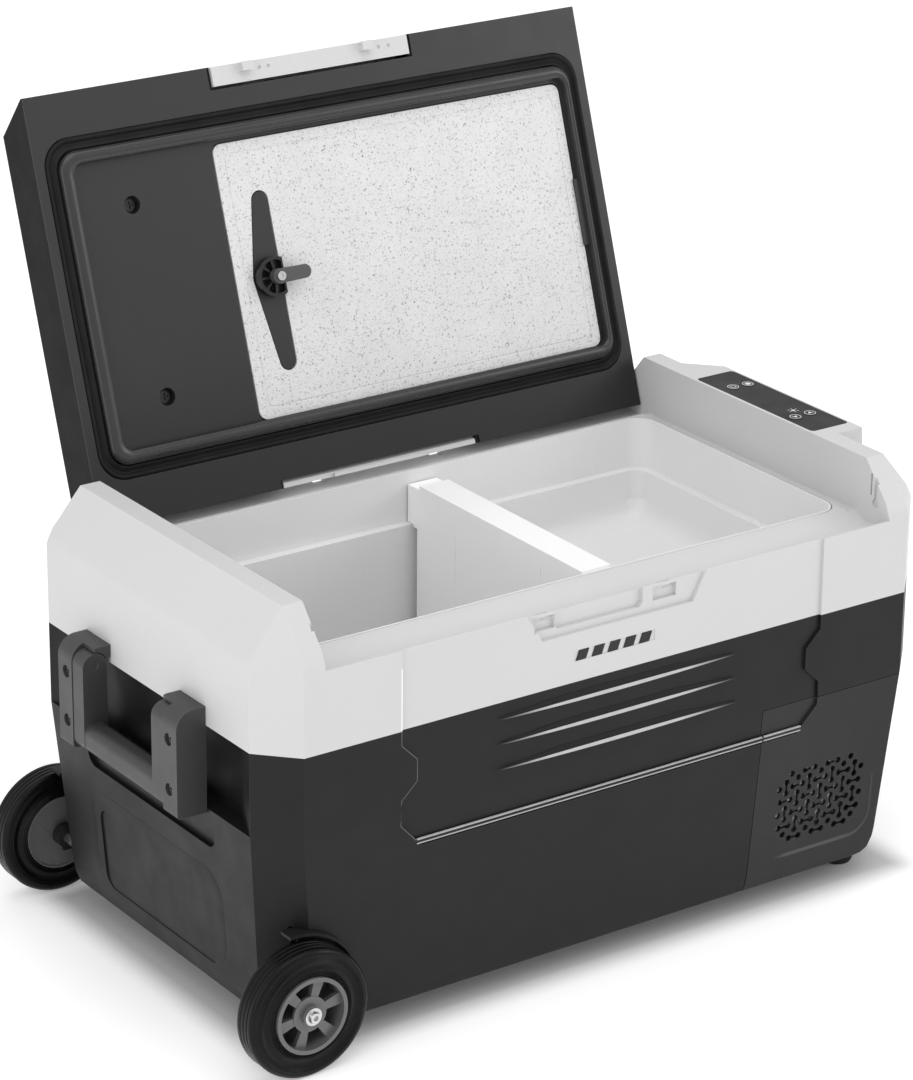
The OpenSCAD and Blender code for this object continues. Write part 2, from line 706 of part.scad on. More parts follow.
// ---------- divider ----------
div_x1 = div_x0 + div_t;
module divider() color(c_white) difference() {
  union() {
    box(div_x0, -121, deep_floor + 10, div_x1, 121, 300);
    box(div_x0, -127, 268, div_x1, 127, 300);
    box(div_x0, -135.5, cavity_ledge + 0.5, div_x1, 135.5, 305);
    box(div_x0 + 2, -118, 299, div_x1, 118, 309);
    box(div_x0, -118, 299, div_x0 + 8, 118, 309);
  }
  // hollow moulding, open underneath
  box(div_x0 + 2.5, -118, deep_floor - 1, div_x1 - 2.5, 118, 296);
  // upright grooves on both faces
  for (y = [-62, 62], x = [div_x0 - 0.2, div_x1 - 0.6])
    box(x, y - 1.2, 60, x + 0.8, y + 1.2, 292);
}

// ---------- lid, drawn closed and turned open ----------
lid_knee_z = lid_z + 2;     // where the lid's sides start to slope
lid_ridge_y = 154.5;        // end of the slope at the lid's top
// knob on the underside that holds the cutting board
knob_at = [-75.5, 2.4];
knob_z = lid_z + 1.9;
screw_r = 2;
// pin of the front latch flap, closed lid
flap_pin_y = -169;
flap_pin_z = 333;
flap_pin_r = 1.5;

module lid_place() translate([0, hinge_y, hinge_z]) rotate([-lid_open, 0, 0])
  translate([0, -hinge_y, -hinge_z]) children();

module lid_profile(inset) polygon(mirrored([
  [lid_hy - inset, lid_z - (inset > 0 ? 1 : 0)],
  [lid_hy - inset, lid_knee_z + inset * 0.35],
  [lid_ridge_y - inset * 0.55, lid_top - inset]]));
// pocket of the front latch flap
module flap_pocket(grow) {
  x = 101.2 + grow;
  box(-x, -200, 300, x, -162.9 + grow, 322.6 + grow);
  box(-x, -200, 321 - grow, x, -160.5 + grow, 346.2 + grow);
}
module flap_pin(x0, x1, radius) cyl_x(x0, x1, flap_pin_y, flap_pin_z, radius);

// space inside the lid's walls, around the latch pockets, hinge bosses and screw posts
module lid_inside() difference() {
  along_x(-lid_hx + 3, lid_hx - 3) lid_profile(3);
  both_turns() flap_pocket(2.4);
  both_ends() both_sides() cyl_x(lid_hx - 12, lid_hx, hinge_y, hinge_z, 6.4);
  at_each(lid_screws_at) translate([0, 0, lid_z + 14]) cylinder(h = 40, r = 7, $fn = 32);
}
module lid_shell() color(c_lid) lid_place() difference() {
  along_x(-lid_hx, lid_hx) lid_profile(0);
  // rebate for the liner's rim
  box(-lid_hx - 1, -lid_hy - 1, 300, lid_hx + 1, lid_hy + 1, lid_z + 1.5);
  lid_inside();
  both_turns() flap_pocket(0);
  box(-101.4, 148, 300, 101.4, 183, 320.7);
  at_each(lid_screws_at) translate([0, 0, lid_z + 13])
    cylinder(h = 14, r = screw_r + 0.1, $fn = 24);
  both_ends() cyl_x(lid_hx - 11, lid_hx + 1, hinge_y, hinge_z, hinge_r + fixed_fit);
  both_sides() both_ends() flap_pin(100, 108, flap_pin_r + fixed_fit);
}

module lid_liner() {
  lid_pan();
  board_tab();
  rear_sill();
}
// fills the underside in front of the hinge side's flap
module rear_sill() color(c_lid_liner) lid_place()
  box(-104.2, 150, lid_z, 104.2, 175.2, lid_z + 1.4);
// retaining tab that laps over the board's right edge
module board_tab() color(c_lid_liner) lid_place()
  box(251, -30, lid_z - 1.2, 258, 30, lid_z + 1.2);

// raised frame inside the seal
module seal_frame(z0, z1) rounded_slab(262, 132.5, 17, z0, z1);
module lid_pan() color(c_lid_liner) lid_place() difference() {
  union() {
    box(-lid_hx + 3.3, -178.6, lid_z, lid_hx - 3.3, 178.6, lid_z + 3);
    box(-lid_hx + 0.3, -lid_hy + 0.3, lid_z, lid_hx - 0.3, lid_hy - 0.3, lid_z + 1.4);
    rounded_slab(276, 148, 25, lid_z + 2, lid_z + 9.4);
    seal_frame(lid_z - 4, lid_z + 3);
    at_each(lid_screws_at) translate([0, 0, lid_z + 4]) cylinder(h = 8, r = 10.2, $fn = 32);
  }
  // seal channel
  difference() {
    rounded_slab(273.5, 145, 25, lid_z - 1, lid_z + 5.2);
    seal_frame(lid_z - 5, lid_z + 9);
  }
  // recessed panel inside the raised frame
  rounded_box(-248.8, -122, 256.2, 122, 10, lid_z - 5, lid_z + 2);
  // pocket for the cutting board, with a raised island that fills the board's slot
  difference() {
    along_z(lid_z, lid_z + 1.7 + board_t) board_rect(1.4, 9);
    translate([0, 0, lid_z]) linear_extrude(20) board_slot(1);
  }
  // room for the latch flaps
  both_turns() box(-104, -200, lid_z + 1.45, 104, -157.8, 340);
  both_turns() box(-104, -200, 300, 104, -162.8, 340);
  // counterbored screw holes
  at_each(lid_screws_at) translate([0, 0, lid_z - 1]) {
    cylinder(h = 11.6, r = 7.7, $fn = 32);
    cylinder(h = 20, r = screw_r + 0.2, $fn = 24);
  }
  at(knob_at) translate([0, 0, lid_z]) cylinder(h = 20, r = 3.2, $fn = 24);
}

module lid_insulation() color(c_foam) lid_place() difference() {
  along_x(-lid_hx + 14, lid_hx - 14)
    polygon(mirrored([[155, lid_z + 10], [146, lid_top - 4]]));
  at_each(concat(lid_screws_at, [knob_at]))
    translate([0, 0, lid_z]) cylinder(h = 60, r = 11, $fn = 24);
}
module lid_seal() color(c_black) lid_place() difference() {
  union() {
    rounded_slab(273, 144.5, 24.5, lid_z - 0.4, lid_z + 5);
    rounded_slab(272, 143.5, 23.5, lid_z - 2, lid_z - 0.3);
  }
  rounded_slab(262.4, 132.9, 17.4, lid_z - 3, lid_z + 9);
  // groove between the seal's two lips
  difference() {
    rounded_slab(270.5, 142, 22, lid_z - 3, lid_z - 0.6);
    rounded_slab(265, 135.5, 19, lid_z - 4, lid_z + 1);
  }
}
module lid_screws() color(c_steel) lid_place()
  at_each(lid_screws_at) translate([0, 0, lid_z + 7.2]) difference() {
    union() {
      cylinder(h = 3.2, r = 5.2, $fn = 32);
      cylinder(h = 19, r = screw_r, $fn = 24);
    }
    for (angle = [0, 90]) rotate(angle) translate([-3.2, -0.6, -1]) cube([6.4, 1.2, 2.4]);
  }
module hinge_pins() color(c_steel) lid_place()
  both_ends() cyl_x(lid_hx - 10.5, block_in + 8, hinge_y, hinge_z, hinge_r);

// ---------- cutting board and its knob ----------
module board_rect(grow, radius)
  rounded_rect(-111.2 - grow, -117 - grow, 252.4 + grow, 121.5 + grow, radius);
// slot in the board: its right side straight, its left side widest at the knob
module board_slot(inset) hull() {
  for (y = [-64, 75.4]) translate([-74, y]) circle(8.5 - inset, $fn = 40);
  translate(knob_at) intersection() {
    circle(18.6 - inset, $fn = 64);
    translate([-30, -9]) square([30, 18]);
  }
}
module cutting_board() color([0.86, 0.86, 0.85]) lid_place() difference() {
  translate([0, 0, lid_z + 1.5]) linear_extrude(board_t) difference() {
    board_rect(0, 8);
    board_slot(0);
  }
  // juice groove
  translate([0, 0, lid_z + 1]) linear_extrude(1) difference() {
    rounded_rect(-102, -108, 243.5, 112.5, 6);
    rounded_rect(-100.6, -106.6, 242.1, 111.1, 5);
  }
}

module knob_place() lid_place() at(knob_at) translate([0, 0, knob_z]) children();
// D shape, a circle cut straight on the right
module dee(radius, right) intersection() {
  circle(radius, $fn = 64);
  translate([-30, -30]) square([30 + right, 60]);
}
module knob_base() color(c_black) knob_place() difference() {
  union() {
    translate([0, 0, -7.9]) linear_extrude(7.9) dee(17.5, 8.6);
    translate([0, 0, -8.6]) cylinder(h = 4, r = 6.5, $fn = 48);
    translate([0, 0, -0.1]) cylinder(h = 8, r = 3, $fn = 24);
  }
  // hollow with radial webs
  translate([0, 0, -9]) linear_extrude(6.6) difference() {
    dee(14.6, 7);
    circle(6.6, $fn = 48);
    for (angle = [100:40:260]) rotate(angle) translate([0, -0.8]) square([20, 1.6]);
  }
  translate([0, 0, -10]) cylinder(h = 12, r = screw_r + 0.1, $fn = 24);
}
module knob_lever() color(c_black) knob_place() translate([0, 0, -15.2]) difference() {
  union() {
    cylinder(h = 6.4, r = 6.6, $fn = 48);
    hull() {
      translate([0, 0, 0.8]) cylinder(h = 4.6, r = 6.3, $fn = 32);
      translate([25.8, 0, 1.4]) cylinder(h = 3.6, r = 6, $fn = 32);
    }
  }
  translate([0, 0, -1]) cylinder(h = 10, r = screw_r + run, $fn = 24);
}
module knob_screw() color(c_steel) knob_place() difference() {
  union() {
    translate([0, 0, -17.6]) cylinder(h = 2.3, r = 4, $fn = 32);
    translate([0, 0, -15.4]) cylinder(h = 15.6, r = screw_r, $fn = 24);
  }
  translate([0, 0, -18.6]) cylinder(h = 2.4, r = 1.9, $fn = 6);
}

// ---------- latches ----------
flap_hx = 100.5;     // half length of a latch flap

module flap_plate() {
  along_x(-flap_hx, flap_hx) polygon([[-182.3, 320.9], [-178.9, 320.9], [-178.2, 321.2],
    [-162.6, 345.2], [-166.4, 345.2]]);
  // ears that take the pins
  for (x = [-flap_hx, flap_hx - 8]) along_x(x, x + 8)
    polygon([[-174.5, 329], [-165.2, 329], [-165.2, 337], [-170, 337]]);
}
module flap_bore() flap_pin(-101, 101, flap_pin_r + run);
// opening side: strip under the lid's edge with two hook blocks
module flap_front() difference() {
  union() {
    flap_plate();
    along_x(-flap_hx, flap_hx)
      polygon([[-182.3, 317.2], [-165.5, 317.2], [-165.5, 321.2], [-182.3, 321.2]]);
    for (x = hooks_x) {
      box(x - 5.5, -179, 309.5, x + 5.5, -174.8, 317.3);
      box(x - 5.5, -182.7, 309.5, x + 5.5, -178.9, 311.6);
    }
  }
  flap_bore();
  for (x = [-53, -44, 70, 80]) translate([x, -175.5, 316]) cylinder(h = 2.4, r = 1.7, $fn = 24);
}
// hinge side: the same flap with a short pull lip in place of the strip
module flap_rear() difference() {
  union() {
    flap_plate();
    box(-45, -182.3, 317.6, 50, -179.4, 321.2);
  }
  flap_bore();
}
module latch_front() color(c_light) lid_place() flap_front();
module latch_rear() color(c_light) lid_place() rotate([0, 0, 180]) flap_rear();
module latch_pins() color(c_steel) lid_place()
  both_sides() both_ends() flap_pin(86, 107, flap_pin_r);
module latch_springs() color(c_steel) lid_place() both_turns() for (x = [-50, 50]) {
  box(x - 6, -161.4, 324.5, x + 6, -160.7, 344);
  box(x - 6, -163.1, 343.2, x + 6, -160.7, 344);
}

// ---------- handles, drawn with x outwards from the right end face ----------
bracket_y = 80.5;                // screws of the brackets
bracket_screw_z = [238.5, 195];
handle_end_y = 70.6;             // outer side of the handle's arms
arm_r = 11.4;                    // half width of the arms
end_gap = 0.1;                   // between the end face and the bracket

module on_right_end() translate([half_l + end_gap, 0, 0]) children();
module on_all_brackets() both_ends() on_right_end() both_sides() children();

// side profile of a bracket (x, z): wide curve at the top outer corner, small one below
module cheek_profile() {
  width = 27.5;
  z0 = 172.5;
  z1 = 265;
  top_r = 16;
  low_r = 4;
  translate([0, z0]) square([width - top_r, z1 - z0]);
  translate([0, z0 + low_r]) square([width, z1 - z0 - low_r - top_r]);
  translate([width - top_r - 1, z0]) square([top_r + 1 - low_r, low_r + 1]);
  translate([width - top_r, z1 - top_r]) intersection() {
    circle(top_r, $fn = 64);
    square(top_r + 1);
  }
  translate([width - low_r, z0 + low_r]) circle(low_r, $fn = 32);
}
module bracket() difference() {
  union() {
    along_y(71.4, 93) cheek_profile();
    // hood that closes over the handle's pivot
    along_y(54.4, 71.5) difference() {
      cheek_profile();
      translate([-1, 160]) square([40, 93.5]);
      translate([pivot_out, 160]) square([40, 130]);
      translate([pivot_out, pivot_z]) circle(12.2, $fn = 64);
      translate([pivot_out - 12.2, 240]) square([40, pivot_z - 240]);
    }
  }
  cyl_y(60, 90, pivot_out, pivot_z, pivot_r + fixed_fit);
  for (z = bracket_screw_z) {
    cyl_x(21.6, 40, bracket_y, z, 5.4);
    cyl_x(-1, 40, bracket_y, z, screw_r + 0.2);
  }
}
module handle_brackets() color(c_bracket) on_all_brackets() bracket();
module bracket_screws() color(c_steel) on_all_brackets() for (z = bracket_screw_z) difference() {
  union() {
    cyl_x(21.8, 25, bracket_y, z, 4.9);
    cyl_x(0.2, 21.9, bracket_y, z, screw_r);
  }
  for (angle = [0, 90]) translate([25.2, bracket_y, z]) rotate([angle, 0, 0])
    cube([2.4, 6, 1.1], center = true);
}
module handle_pins() color(c_steel) on_all_brackets() cyl_y(56, 84, pivot_out, pivot_z, pivot_r);

// arm and grip profiles (x, z), x measured from the pivot
module arm_profile() {
  translate([0, pivot_z]) circle(arm_r, $fn = 48);
  translate([-arm_r, 185]) square([2 * arm_r, pivot_z - 185]);
  translate([-arm_r + 9, 174]) square([2 * arm_r - 18, 30]);
  translate([-arm_r, 183]) square([2 * arm_r, 20]);
  for (x = [-2.4, 2.4]) translate([x, 183]) circle(9, $fn = 32);
}
module grip_profile() {
  for (x = [-2.6, 2.6], z = [182.6, 190.5]) translate([x, z]) circle(8.4, $fn = 32);
  translate([-11, 182.6]) square([22, 7.9]);
  translate([-2.6, 174.2]) square([5.2, 24.7]);
}
module handle() difference() {
  translate([pivot_out, 0, 0]) {
    both_sides() along_y(grip_hy, handle_end_y) arm_profile();
    along_y(-grip_hy - 1, grip_hy + 1) grip_profile();
  }
  cyl_y(-72, 72, pivot_out, pivot_z, pivot_r + run);
}
module handle_right() color(c_handle) on_right_end() handle();
module handle_left() color(c_handle) mirror([1, 0, 0]) on_right_end() handle();

// ---------- running gear ----------
axle_end = 212.7;
groove_r = 1.1;      // tread grooves

module axle() color(c_steel) cyl_y(-axle_end, axle_end, axle_x, axle_z, axle_r);
module wheel_housings() color(c_black) difference() {
  both_sides() {
    difference() {
      cyl_y(-189.8, -housing_y, axle_x, axle_z, 61);
      cyl_y(-200, -175.2, axle_x, axle_z, 58.4);
      // cut away below the shell and beyond its left end
      box(-380, -200, -30, -250, -150, 2);
      box(-380, -200, -30, -319, -150, 120);
      box(-380, -175.4, 48, -303, -150, 120);
      box(-380, -175.4, -30, -303, -150, 26);
    }
    cyl_y(-183.4, -housing_y, axle_x, axle_z, 10);
  }
  cyl_y(-200, 200, axle_x, axle_z, axle_r + 0.05);
}

// wheel profiles are revolved about Z and laid along Y, outer side at +Z
module tyre() rotate_extrude($fn = 96) difference() {
  union() {
    translate([33, 2]) square([18, 24]);
    translate([46, 4]) square([9.65 - 1.5, 20]);
    for (z = [7.4, 20.6]) translate([wheel_r - 3.4, z]) circle(3.4, $fn = 24);
    translate([wheel_r - 4, 7.4]) square([4, 13.2]);
    // beads on both side faces
    for (x = [37, 49], z = [2, 26]) translate([x, z]) circle(1.6, $fn = 16);
  }
  for (z = [9.4, 14, 18.6]) translate([wheel_r + 0.2, z]) circle(groove_r, $fn = 16);
  for (z = [1.2, 26.8]) translate([43, z]) circle(2 * groove_r, $fn = 16);
}
module hub() union() {
  bore_r = axle_r + run;
  rotate_extrude($fn = 96) {
    translate([29.6, 2.6]) square([3.3, 26.4]);
    translate([32, 0.8]) square([0.9, 3]);
    translate([bore_r, 4]) square([3.4, 24.6]);
    translate([bore_r, 22]) square([15.2 - axle_r, 2.8]);
  }
  // six spokes, wider at the rim, each with a web behind it
  for (i = [0:5]) rotate(i * 60 + 12) {
    translate([0, 0, 19.8]) linear_extrude(4.4)
      polygon([[13, -3.2], [30.4, -5.2], [30.4, 5.2], [13, 3.2]]);
    translate([7, -1, 5]) cube([23.6, 2, 16]);
  }
}
module front_wheel() translate([axle_x, -184, axle_z]) rotate([90, 0, 0]) children();
module rear_wheel() mirror([0, 1, 0]) front_wheel() children();
module tyre_front() color(c_black) front_wheel() tyre();
module hub_front() color(c_hub) front_wheel() hub();
module tyre_rear() color(c_black) rear_wheel() tyre();
module hub_rear() color(c_hub) rear_wheel() hub();
module axle_caps() color([0.8, 0.8, 0.82])
  both_sides() translate([axle_x, -axle_end - 0.1, axle_z]) rotate([90, 0, 0]) difference() {
    union() {
      cylinder(h = 1.4, r = 7.6, $fn = 48);
      translate([0, 0, 1.3]) cylinder(h = 3.2, r1 = 5.6, r2 = 4.4, $fn = 48);
    }
    translate([0, 0, 2.4]) cylinder(h = 3, r = 2.6, $fn = 6);
  }

module feet() color(c_black) at_each(feet_at) translate([0, 0, -ground_gap]) difference() {
  union() {
    cylinder(h = 3, r1 = 12.6, r2 = 14, $fn = 48);
    translate([0, 0, 3]) cylinder(h = ground_gap - 3.05, r1 = 14, r2 = 16.4, $fn = 48);
  }
  translate([0, 0, -1]) cylinder(h = 30, r = foot_bore_r, $fn = 24);
  translate([0, 0, -1]) cylinder(h = 9, r = 5, $fn = 32);
}
module foot_screws() color(c_steel) at_each(feet_at) translate([0, 0, -ground_gap]) {
  translate([0, 0, 5]) cylinder(h = 2.9, r = 4.4, $fn = 32);
  translate([0, 0, 7.8]) cylinder(h = ground_gap - 1, r = 2.1, $fn = 24);
}

lower_shell();
compressor_cover();
base_plate();
collar();
inner_liner();
insulation_panels();
evaporator_plate();
compressor();
compressor_mounts();
condenser();
fan_shroud();
fan_rotor();
power_module();
refrigerant_lines();
wiring_harness();
power_inlet();
drain_tube();
drain_plug();
control_board();
display_module();
control_overlay();
button_power();
button_mode();
button_down();
button_up();
emblem();
divider();
lid_shell();
lid_liner();
lid_insulation();
lid_seal();
lid_screws();
hinge_pins();
cutting_board();
knob_base();
knob_lever();
knob_screw();
latch_front();
latch_rear();
latch_pins();
latch_springs();
handle_brackets();
bracket_screws();
handle_pins();
handle_left();
handle_right();
axle();
wheel_housings();
tyre_front();
hub_front();
tyre_rear();
hub_rear();
axle_caps();
feet();
foot_screws();
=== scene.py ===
# Compressor cool box on two wheels, its lid swung open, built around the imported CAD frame.
# Metres, Z up, in the CAD's frame. The front faces -Y, the lid hinges along the back (+Y) and the
# wheels are at the left end (-X). Outlines are in millimetres and scaled by MM when placed.
import math
import bmesh
import bpy
from mathutils import Matrix, Vector


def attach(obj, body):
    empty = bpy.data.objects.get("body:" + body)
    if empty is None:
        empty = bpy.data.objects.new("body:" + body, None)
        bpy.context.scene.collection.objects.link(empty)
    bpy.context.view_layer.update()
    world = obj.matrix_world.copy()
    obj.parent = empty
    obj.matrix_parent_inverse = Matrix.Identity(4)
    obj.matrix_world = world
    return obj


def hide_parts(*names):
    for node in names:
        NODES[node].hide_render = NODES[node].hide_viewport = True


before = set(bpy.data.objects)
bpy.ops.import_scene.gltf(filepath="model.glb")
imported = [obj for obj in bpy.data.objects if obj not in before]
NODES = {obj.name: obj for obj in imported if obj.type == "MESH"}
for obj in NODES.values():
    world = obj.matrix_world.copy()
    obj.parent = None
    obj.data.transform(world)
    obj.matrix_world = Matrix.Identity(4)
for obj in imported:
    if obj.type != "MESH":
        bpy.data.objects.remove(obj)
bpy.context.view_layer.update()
COLLECTION = bpy.context.scene.collection
MM = 0.001


# ------------------------------------------------------------------ material graph
class Graph:
    """Builds a shader tree around one Principled BSDF. Its helpers return output sockets."""

    def __init__(self, name):
        self.material = bpy.data.materials.new(name)
        self.material.use_nodes = True
        self.tree = self.material.node_tree
        self.tree.nodes.clear()
        self.out = self.add("ShaderNodeOutputMaterial")
        self.shader = self.add("ShaderNodeBsdfPrincipled")
        self.link(self.shader.outputs["BSDF"], self.out.inputs["Surface"])
        self.coord = self.add("ShaderNodeTexCoord").outputs["Object"]
        self.normal = None

    def add(self, kind, **settings):
        node = self.tree.nodes.new(kind)
        for key, value in settings.items():
            setattr(node, key, value)
        return node

    def link(self, source, target):
        self.tree.links.new(source, target)

    def feed(self, target, value):
        """Links a socket, or sets a number or an RGB colour."""
        if isinstance(value, bpy.types.NodeSocket):
            self.link(value, target)
        elif isinstance(value, tuple):
            target.default_value = value + (1.0,)
        else:
            target.default_value = value

    def put(self, name, value):
        self.feed(self.shader.inputs[name], value)

    def noise(self, scale, detail=2.0, rough=0.5, vector=None):
        node = self.add("ShaderNodeTexNoise")
        node.inputs["Scale"].default_value = scale
        node.inputs["Detail"].default_value = detail
        node.inputs["Roughness"].default_value = rough
        self.link(vector or self.coord, node.inputs["Vector"])
        return node.outputs["Fac"]

    def voronoi(self, scale, feature="F1"):
        """The node itself, as both its distance and its colour are of use."""
        node = self.add("ShaderNodeTexVoronoi", feature=feature)
        node.inputs["Scale"].default_value = scale
        self.link(self.coord, node.inputs["Vector"])
        return node

    def remap(self, value, source=(0.3, 0.7), target=(0.0, 1.0), curve="LINEAR"):
        node = self.add("ShaderNodeMapRange", interpolation_type=curve)
        for key, limits in (("From", source), ("To", target)):
            node.inputs[key + " Min"].default_value = limits[0]
            node.inputs[key + " Max"].default_value = limits[1]
        self.link(value, node.inputs["Value"])
        return node.outputs[0]

    def math(self, operation, first, second):
        node = self.add("ShaderNodeMath", operation=operation)
        self.feed(node.inputs[0], first)
        self.feed(node.inputs[1], second)
        return node.outputs[0]

    def mix(self, factor, first, second):
        node = self.add("ShaderNodeMix", data_type="RGBA")
        sockets = [socket for socket in node.inputs if socket.enabled]
        for socket, value in zip(sockets, (factor, first, second)):
            self.feed(socket, value)
        return [socket for socket in node.outputs if socket.enabled][0]

    def bump(self, height, strength, distance):
        """Adds a bump on top of any earlier one."""
        node = self.add("ShaderNodeBump")
        node.inputs["Strength"].default_value = strength
        node.inputs["Distance"].default_value = distance
        self.link(height, node.inputs["Height"])
        if self.normal is not None:
            self.link(self.normal, node.inputs["Normal"])
        self.normal = node.outputs["Normal"]

    def edge_mask(self, radius, gain):
        """0 on flats, rising on edges, from how far the rounded normal leaves the true one."""
        rounded = self.add("ShaderNodeBevel", samples=4)
        rounded.inputs["Radius"].default_value = radius
        geometry = self.add("ShaderNodeNewGeometry")
        dot = self.add("ShaderNodeVectorMath", operation="DOT_PRODUCT")
        self.link(rounded.outputs["Normal"], dot.inputs[0])
        self.link(geometry.outputs["Normal"], dot.inputs[1])
        return self.math("MULTIPLY", self.math("SUBTRACT", 1.0, dot.outputs["Value"]), gain)

    def finish(self):
        if self.normal is not None:
            self.link(self.normal, self.shader.inputs["Normal"])
        return self.material


def grey(tone, tint=(1.0, 1.0, 1.0)):
    return (tone * tint[0], tone * tint[1], tone * tint[2])


# ------------------------------------------------------------------ material kinds
def plastic(name, tone, rough, spec, grain, grain_size, mottle, wear_and_highlight, tint=(1, 1, 1), leather=0.0):
    """Moulded plastic: mottled colour, uneven gloss, fine grain and edges paled partly by wear and
    partly as a painted highlight.
    """
    mat = Graph(name)
    broad = mat.noise(scale=7.0, detail=3.0, rough=0.55)
    dust = mat.noise(scale=180.0, rough=0.6)
    dark, light = grey(tone * (1 - mottle), tint), grey(tone * (1 + mottle), tint)
    colour = mat.mix(mat.remap(broad), dark, light)
    specks = mat.math("MULTIPLY", mat.remap(dust, source=(0.35, 0.65)), 0.35)
    colour = mat.mix(specks, colour, grey(tone * (1 + mottle * 1.6), tint))
    if wear_and_highlight > 0:
        # Paler edges: partly wear, partly a painted highlight along the moulded edges.
        mask = mat.edge_mask(radius=0.0012, gain=2.2)
        paled_edges = mat.math("MINIMUM", mat.math("MULTIPLY", mask, wear_and_highlight), 0.85)
        colour = mat.mix(paled_edges, colour, grey(min(1.0, tone * 2.6 + 0.03), tint))
    mat.put("Base Color", colour)
    gloss = mat.noise(scale=34.0, detail=3.0, rough=0.6)
    mat.put("Roughness", mat.remap(gloss, target=(rough - 0.06, rough + 0.06)))
    mat.put("Specular IOR Level", spec)
    if grain > 0:
        skin = mat.noise(scale=1.0 / grain_size, detail=3.0, rough=0.6)
        mat.bump(skin, strength=grain, distance=grain_size * 0.25)
    if leather > 0:
        cells = mat.voronoi(scale=1.0 / 0.0022, feature="SMOOTH_F1")
        mat.bump(cells.outputs["Distance"], strength=leather, distance=0.0004)
    return mat.finish()


def rubber(name, tone, rough, spec):
    """Black rubber with a dusty bloom, paler edges and a fine pebbled skin."""
    mat = Graph(name)
    bloom = mat.remap(mat.noise(scale=22.0, detail=4.0, rough=0.6), source=(0.35, 0.7))
    colour = mat.mix(bloom, grey(tone * 0.8), grey(tone * 1.6))
    paled_edges = mat.math("MINIMUM", mat.edge_mask(radius=0.0008, gain=1.6), 0.6)
    mat.put("Base Color", mat.mix(paled_edges, colour, grey(tone * 3.0)))
    gloss = mat.noise(scale=60.0, detail=3.0, rough=0.6)
    mat.put("Roughness", mat.remap(gloss, target=(rough - 0.1, rough + 0.08)))
    mat.put("Specular IOR Level", spec)
    mat.bump(mat.noise(scale=2200.0), strength=0.25, distance=0.00012)
    return mat.finish()


def metal(name, dark, light, rough, stretch=(1, 1, 1), grain=0.15):
    """Plated or brushed metal whose colour and gloss follow one streaky noise."""
    mat = Graph(name)
    mapping = mat.add("ShaderNodeMapping")
    mapping.inputs["Scale"].default_value = stretch
    mat.link(mat.coord, mapping.inputs["Vector"])
    streaks = mat.noise(scale=420.0, detail=4.0, rough=0.65, vector=mapping.outputs["Vector"])
    mat.put("Base Color", mat.mix(mat.remap(streaks), dark, light))
    mat.put("Metallic", 1.0)
    mat.put("Roughness", mat.remap(streaks, target=(rough - 0.08, rough + 0.1)))
    mat.bump(streaks, strength=grain, distance=0.00008)
    return mat.finish()


def grey_metal(name, tone, rough, **options):
    return metal(name, grey(tone * 0.86), grey(min(1.0, tone * 1.1)), rough, **options)


def foam(name, colour):
    """Rigid foam with small open cells."""
    mat = Graph(name)
    cells = mat.voronoi(scale=700.0).outputs["Distance"]
    depth = mat.remap(cells, source=(0.0, 0.8))
    light, dark = tuple(c * 1.05 for c in colour), tuple(c * 0.8 for c in colour)
    mat.put("Base Color", mat.mix(depth, light, dark))
    mat.put("Roughness", 0.9)
    mat.bump(cells, strength=0.5, distance=0.0006)
    return mat.finish()


# Fleck layers: cell scale, fleck size, share of cells left bare, tone factor, edge softness
FLECKS = (
    (300.0, 0.26, 0.60, 0.42, 0.10),
    (520.0, 0.30, 0.66, 0.30, 0.12),
    (900.0, 0.34, 0.55, 0.50, 0.14),
    (190.0, 0.15, 0.72, 0.18, 0.05),
)


def speckled(name, tone):
    """Pale moulded board filled with small dark flecks."""
    mat = Graph(name)
    wobble = mat.noise(scale=260.0)
    broad = mat.remap(mat.noise(scale=24.0, detail=3.0, rough=0.6))
    colour = mat.mix(broad, grey(tone * 0.96), grey(tone * 1.03))
    for scale, size, bare, dark, soft in FLECKS:
        cells = mat.voronoi(scale)
        pick = mat.add("ShaderNodeSeparateColor")
        mat.link(cells.outputs["Color"], pick.inputs["Color"])
        chosen = mat.math("GREATER_THAN", pick.outputs[0], bare)
        ragged = mat.math("MULTIPLY", wobble, 0.22)
        distance = mat.math("ADD", cells.outputs["Distance"], ragged)
        rim = size + 0.10
        spot = mat.remap(distance, source=(rim, rim + soft), target=(1.0, 0.0))
        depth = mat.math("MULTIPLY", pick.outputs[1], 0.8)
        factor = mat.math("MULTIPLY", mat.math("MULTIPLY", spot, chosen), depth)
        colour = mat.mix(factor, colour, grey(dark * tone))
    mat.put("Base Color", colour)
    gloss = mat.noise(scale=40.0, detail=3.0, rough=0.6)
    mat.put("Roughness", mat.remap(gloss, target=(0.30, 0.42)))
    mat.bump(mat.noise(scale=900.0, detail=3.0, rough=0.6), strength=0.12, distance=0.0001)
    return mat.finish()


def painted_highlight(name, ends, full, tone):
    """Painted highlight in satin silver between the two full places along X (metres), darkening
    towards its ends.
    """
    mat = Graph(name)
    split = mat.add("ShaderNodeSeparateXYZ")
    mat.link(mat.coord, split.inputs["Vector"])
    left = mat.remap(split.outputs["X"], source=(ends[0], full[0]))
    right = mat.remap(split.outputs["X"], source=(ends[1], full[1]))
    fade = mat.math("MULTIPLY", left, right)
    cloud = mat.noise(scale=90.0, detail=3.0, rough=0.6)
    fade = mat.math("MULTIPLY", fade, mat.remap(cloud, target=(0.86, 1.0)))
    mat.put("Base Color", mat.mix(fade, grey(0.010), grey(tone)))
    mat.put("Metallic", 0.0)
    mat.put("Roughness", mat.remap(cloud, target=(0.26, 0.40)))
    mat.put("Specular IOR Level", 0.35)
    mat.bump(mat.noise(scale=1400.0), strength=0.10, distance=0.0001)
    return mat.finish()


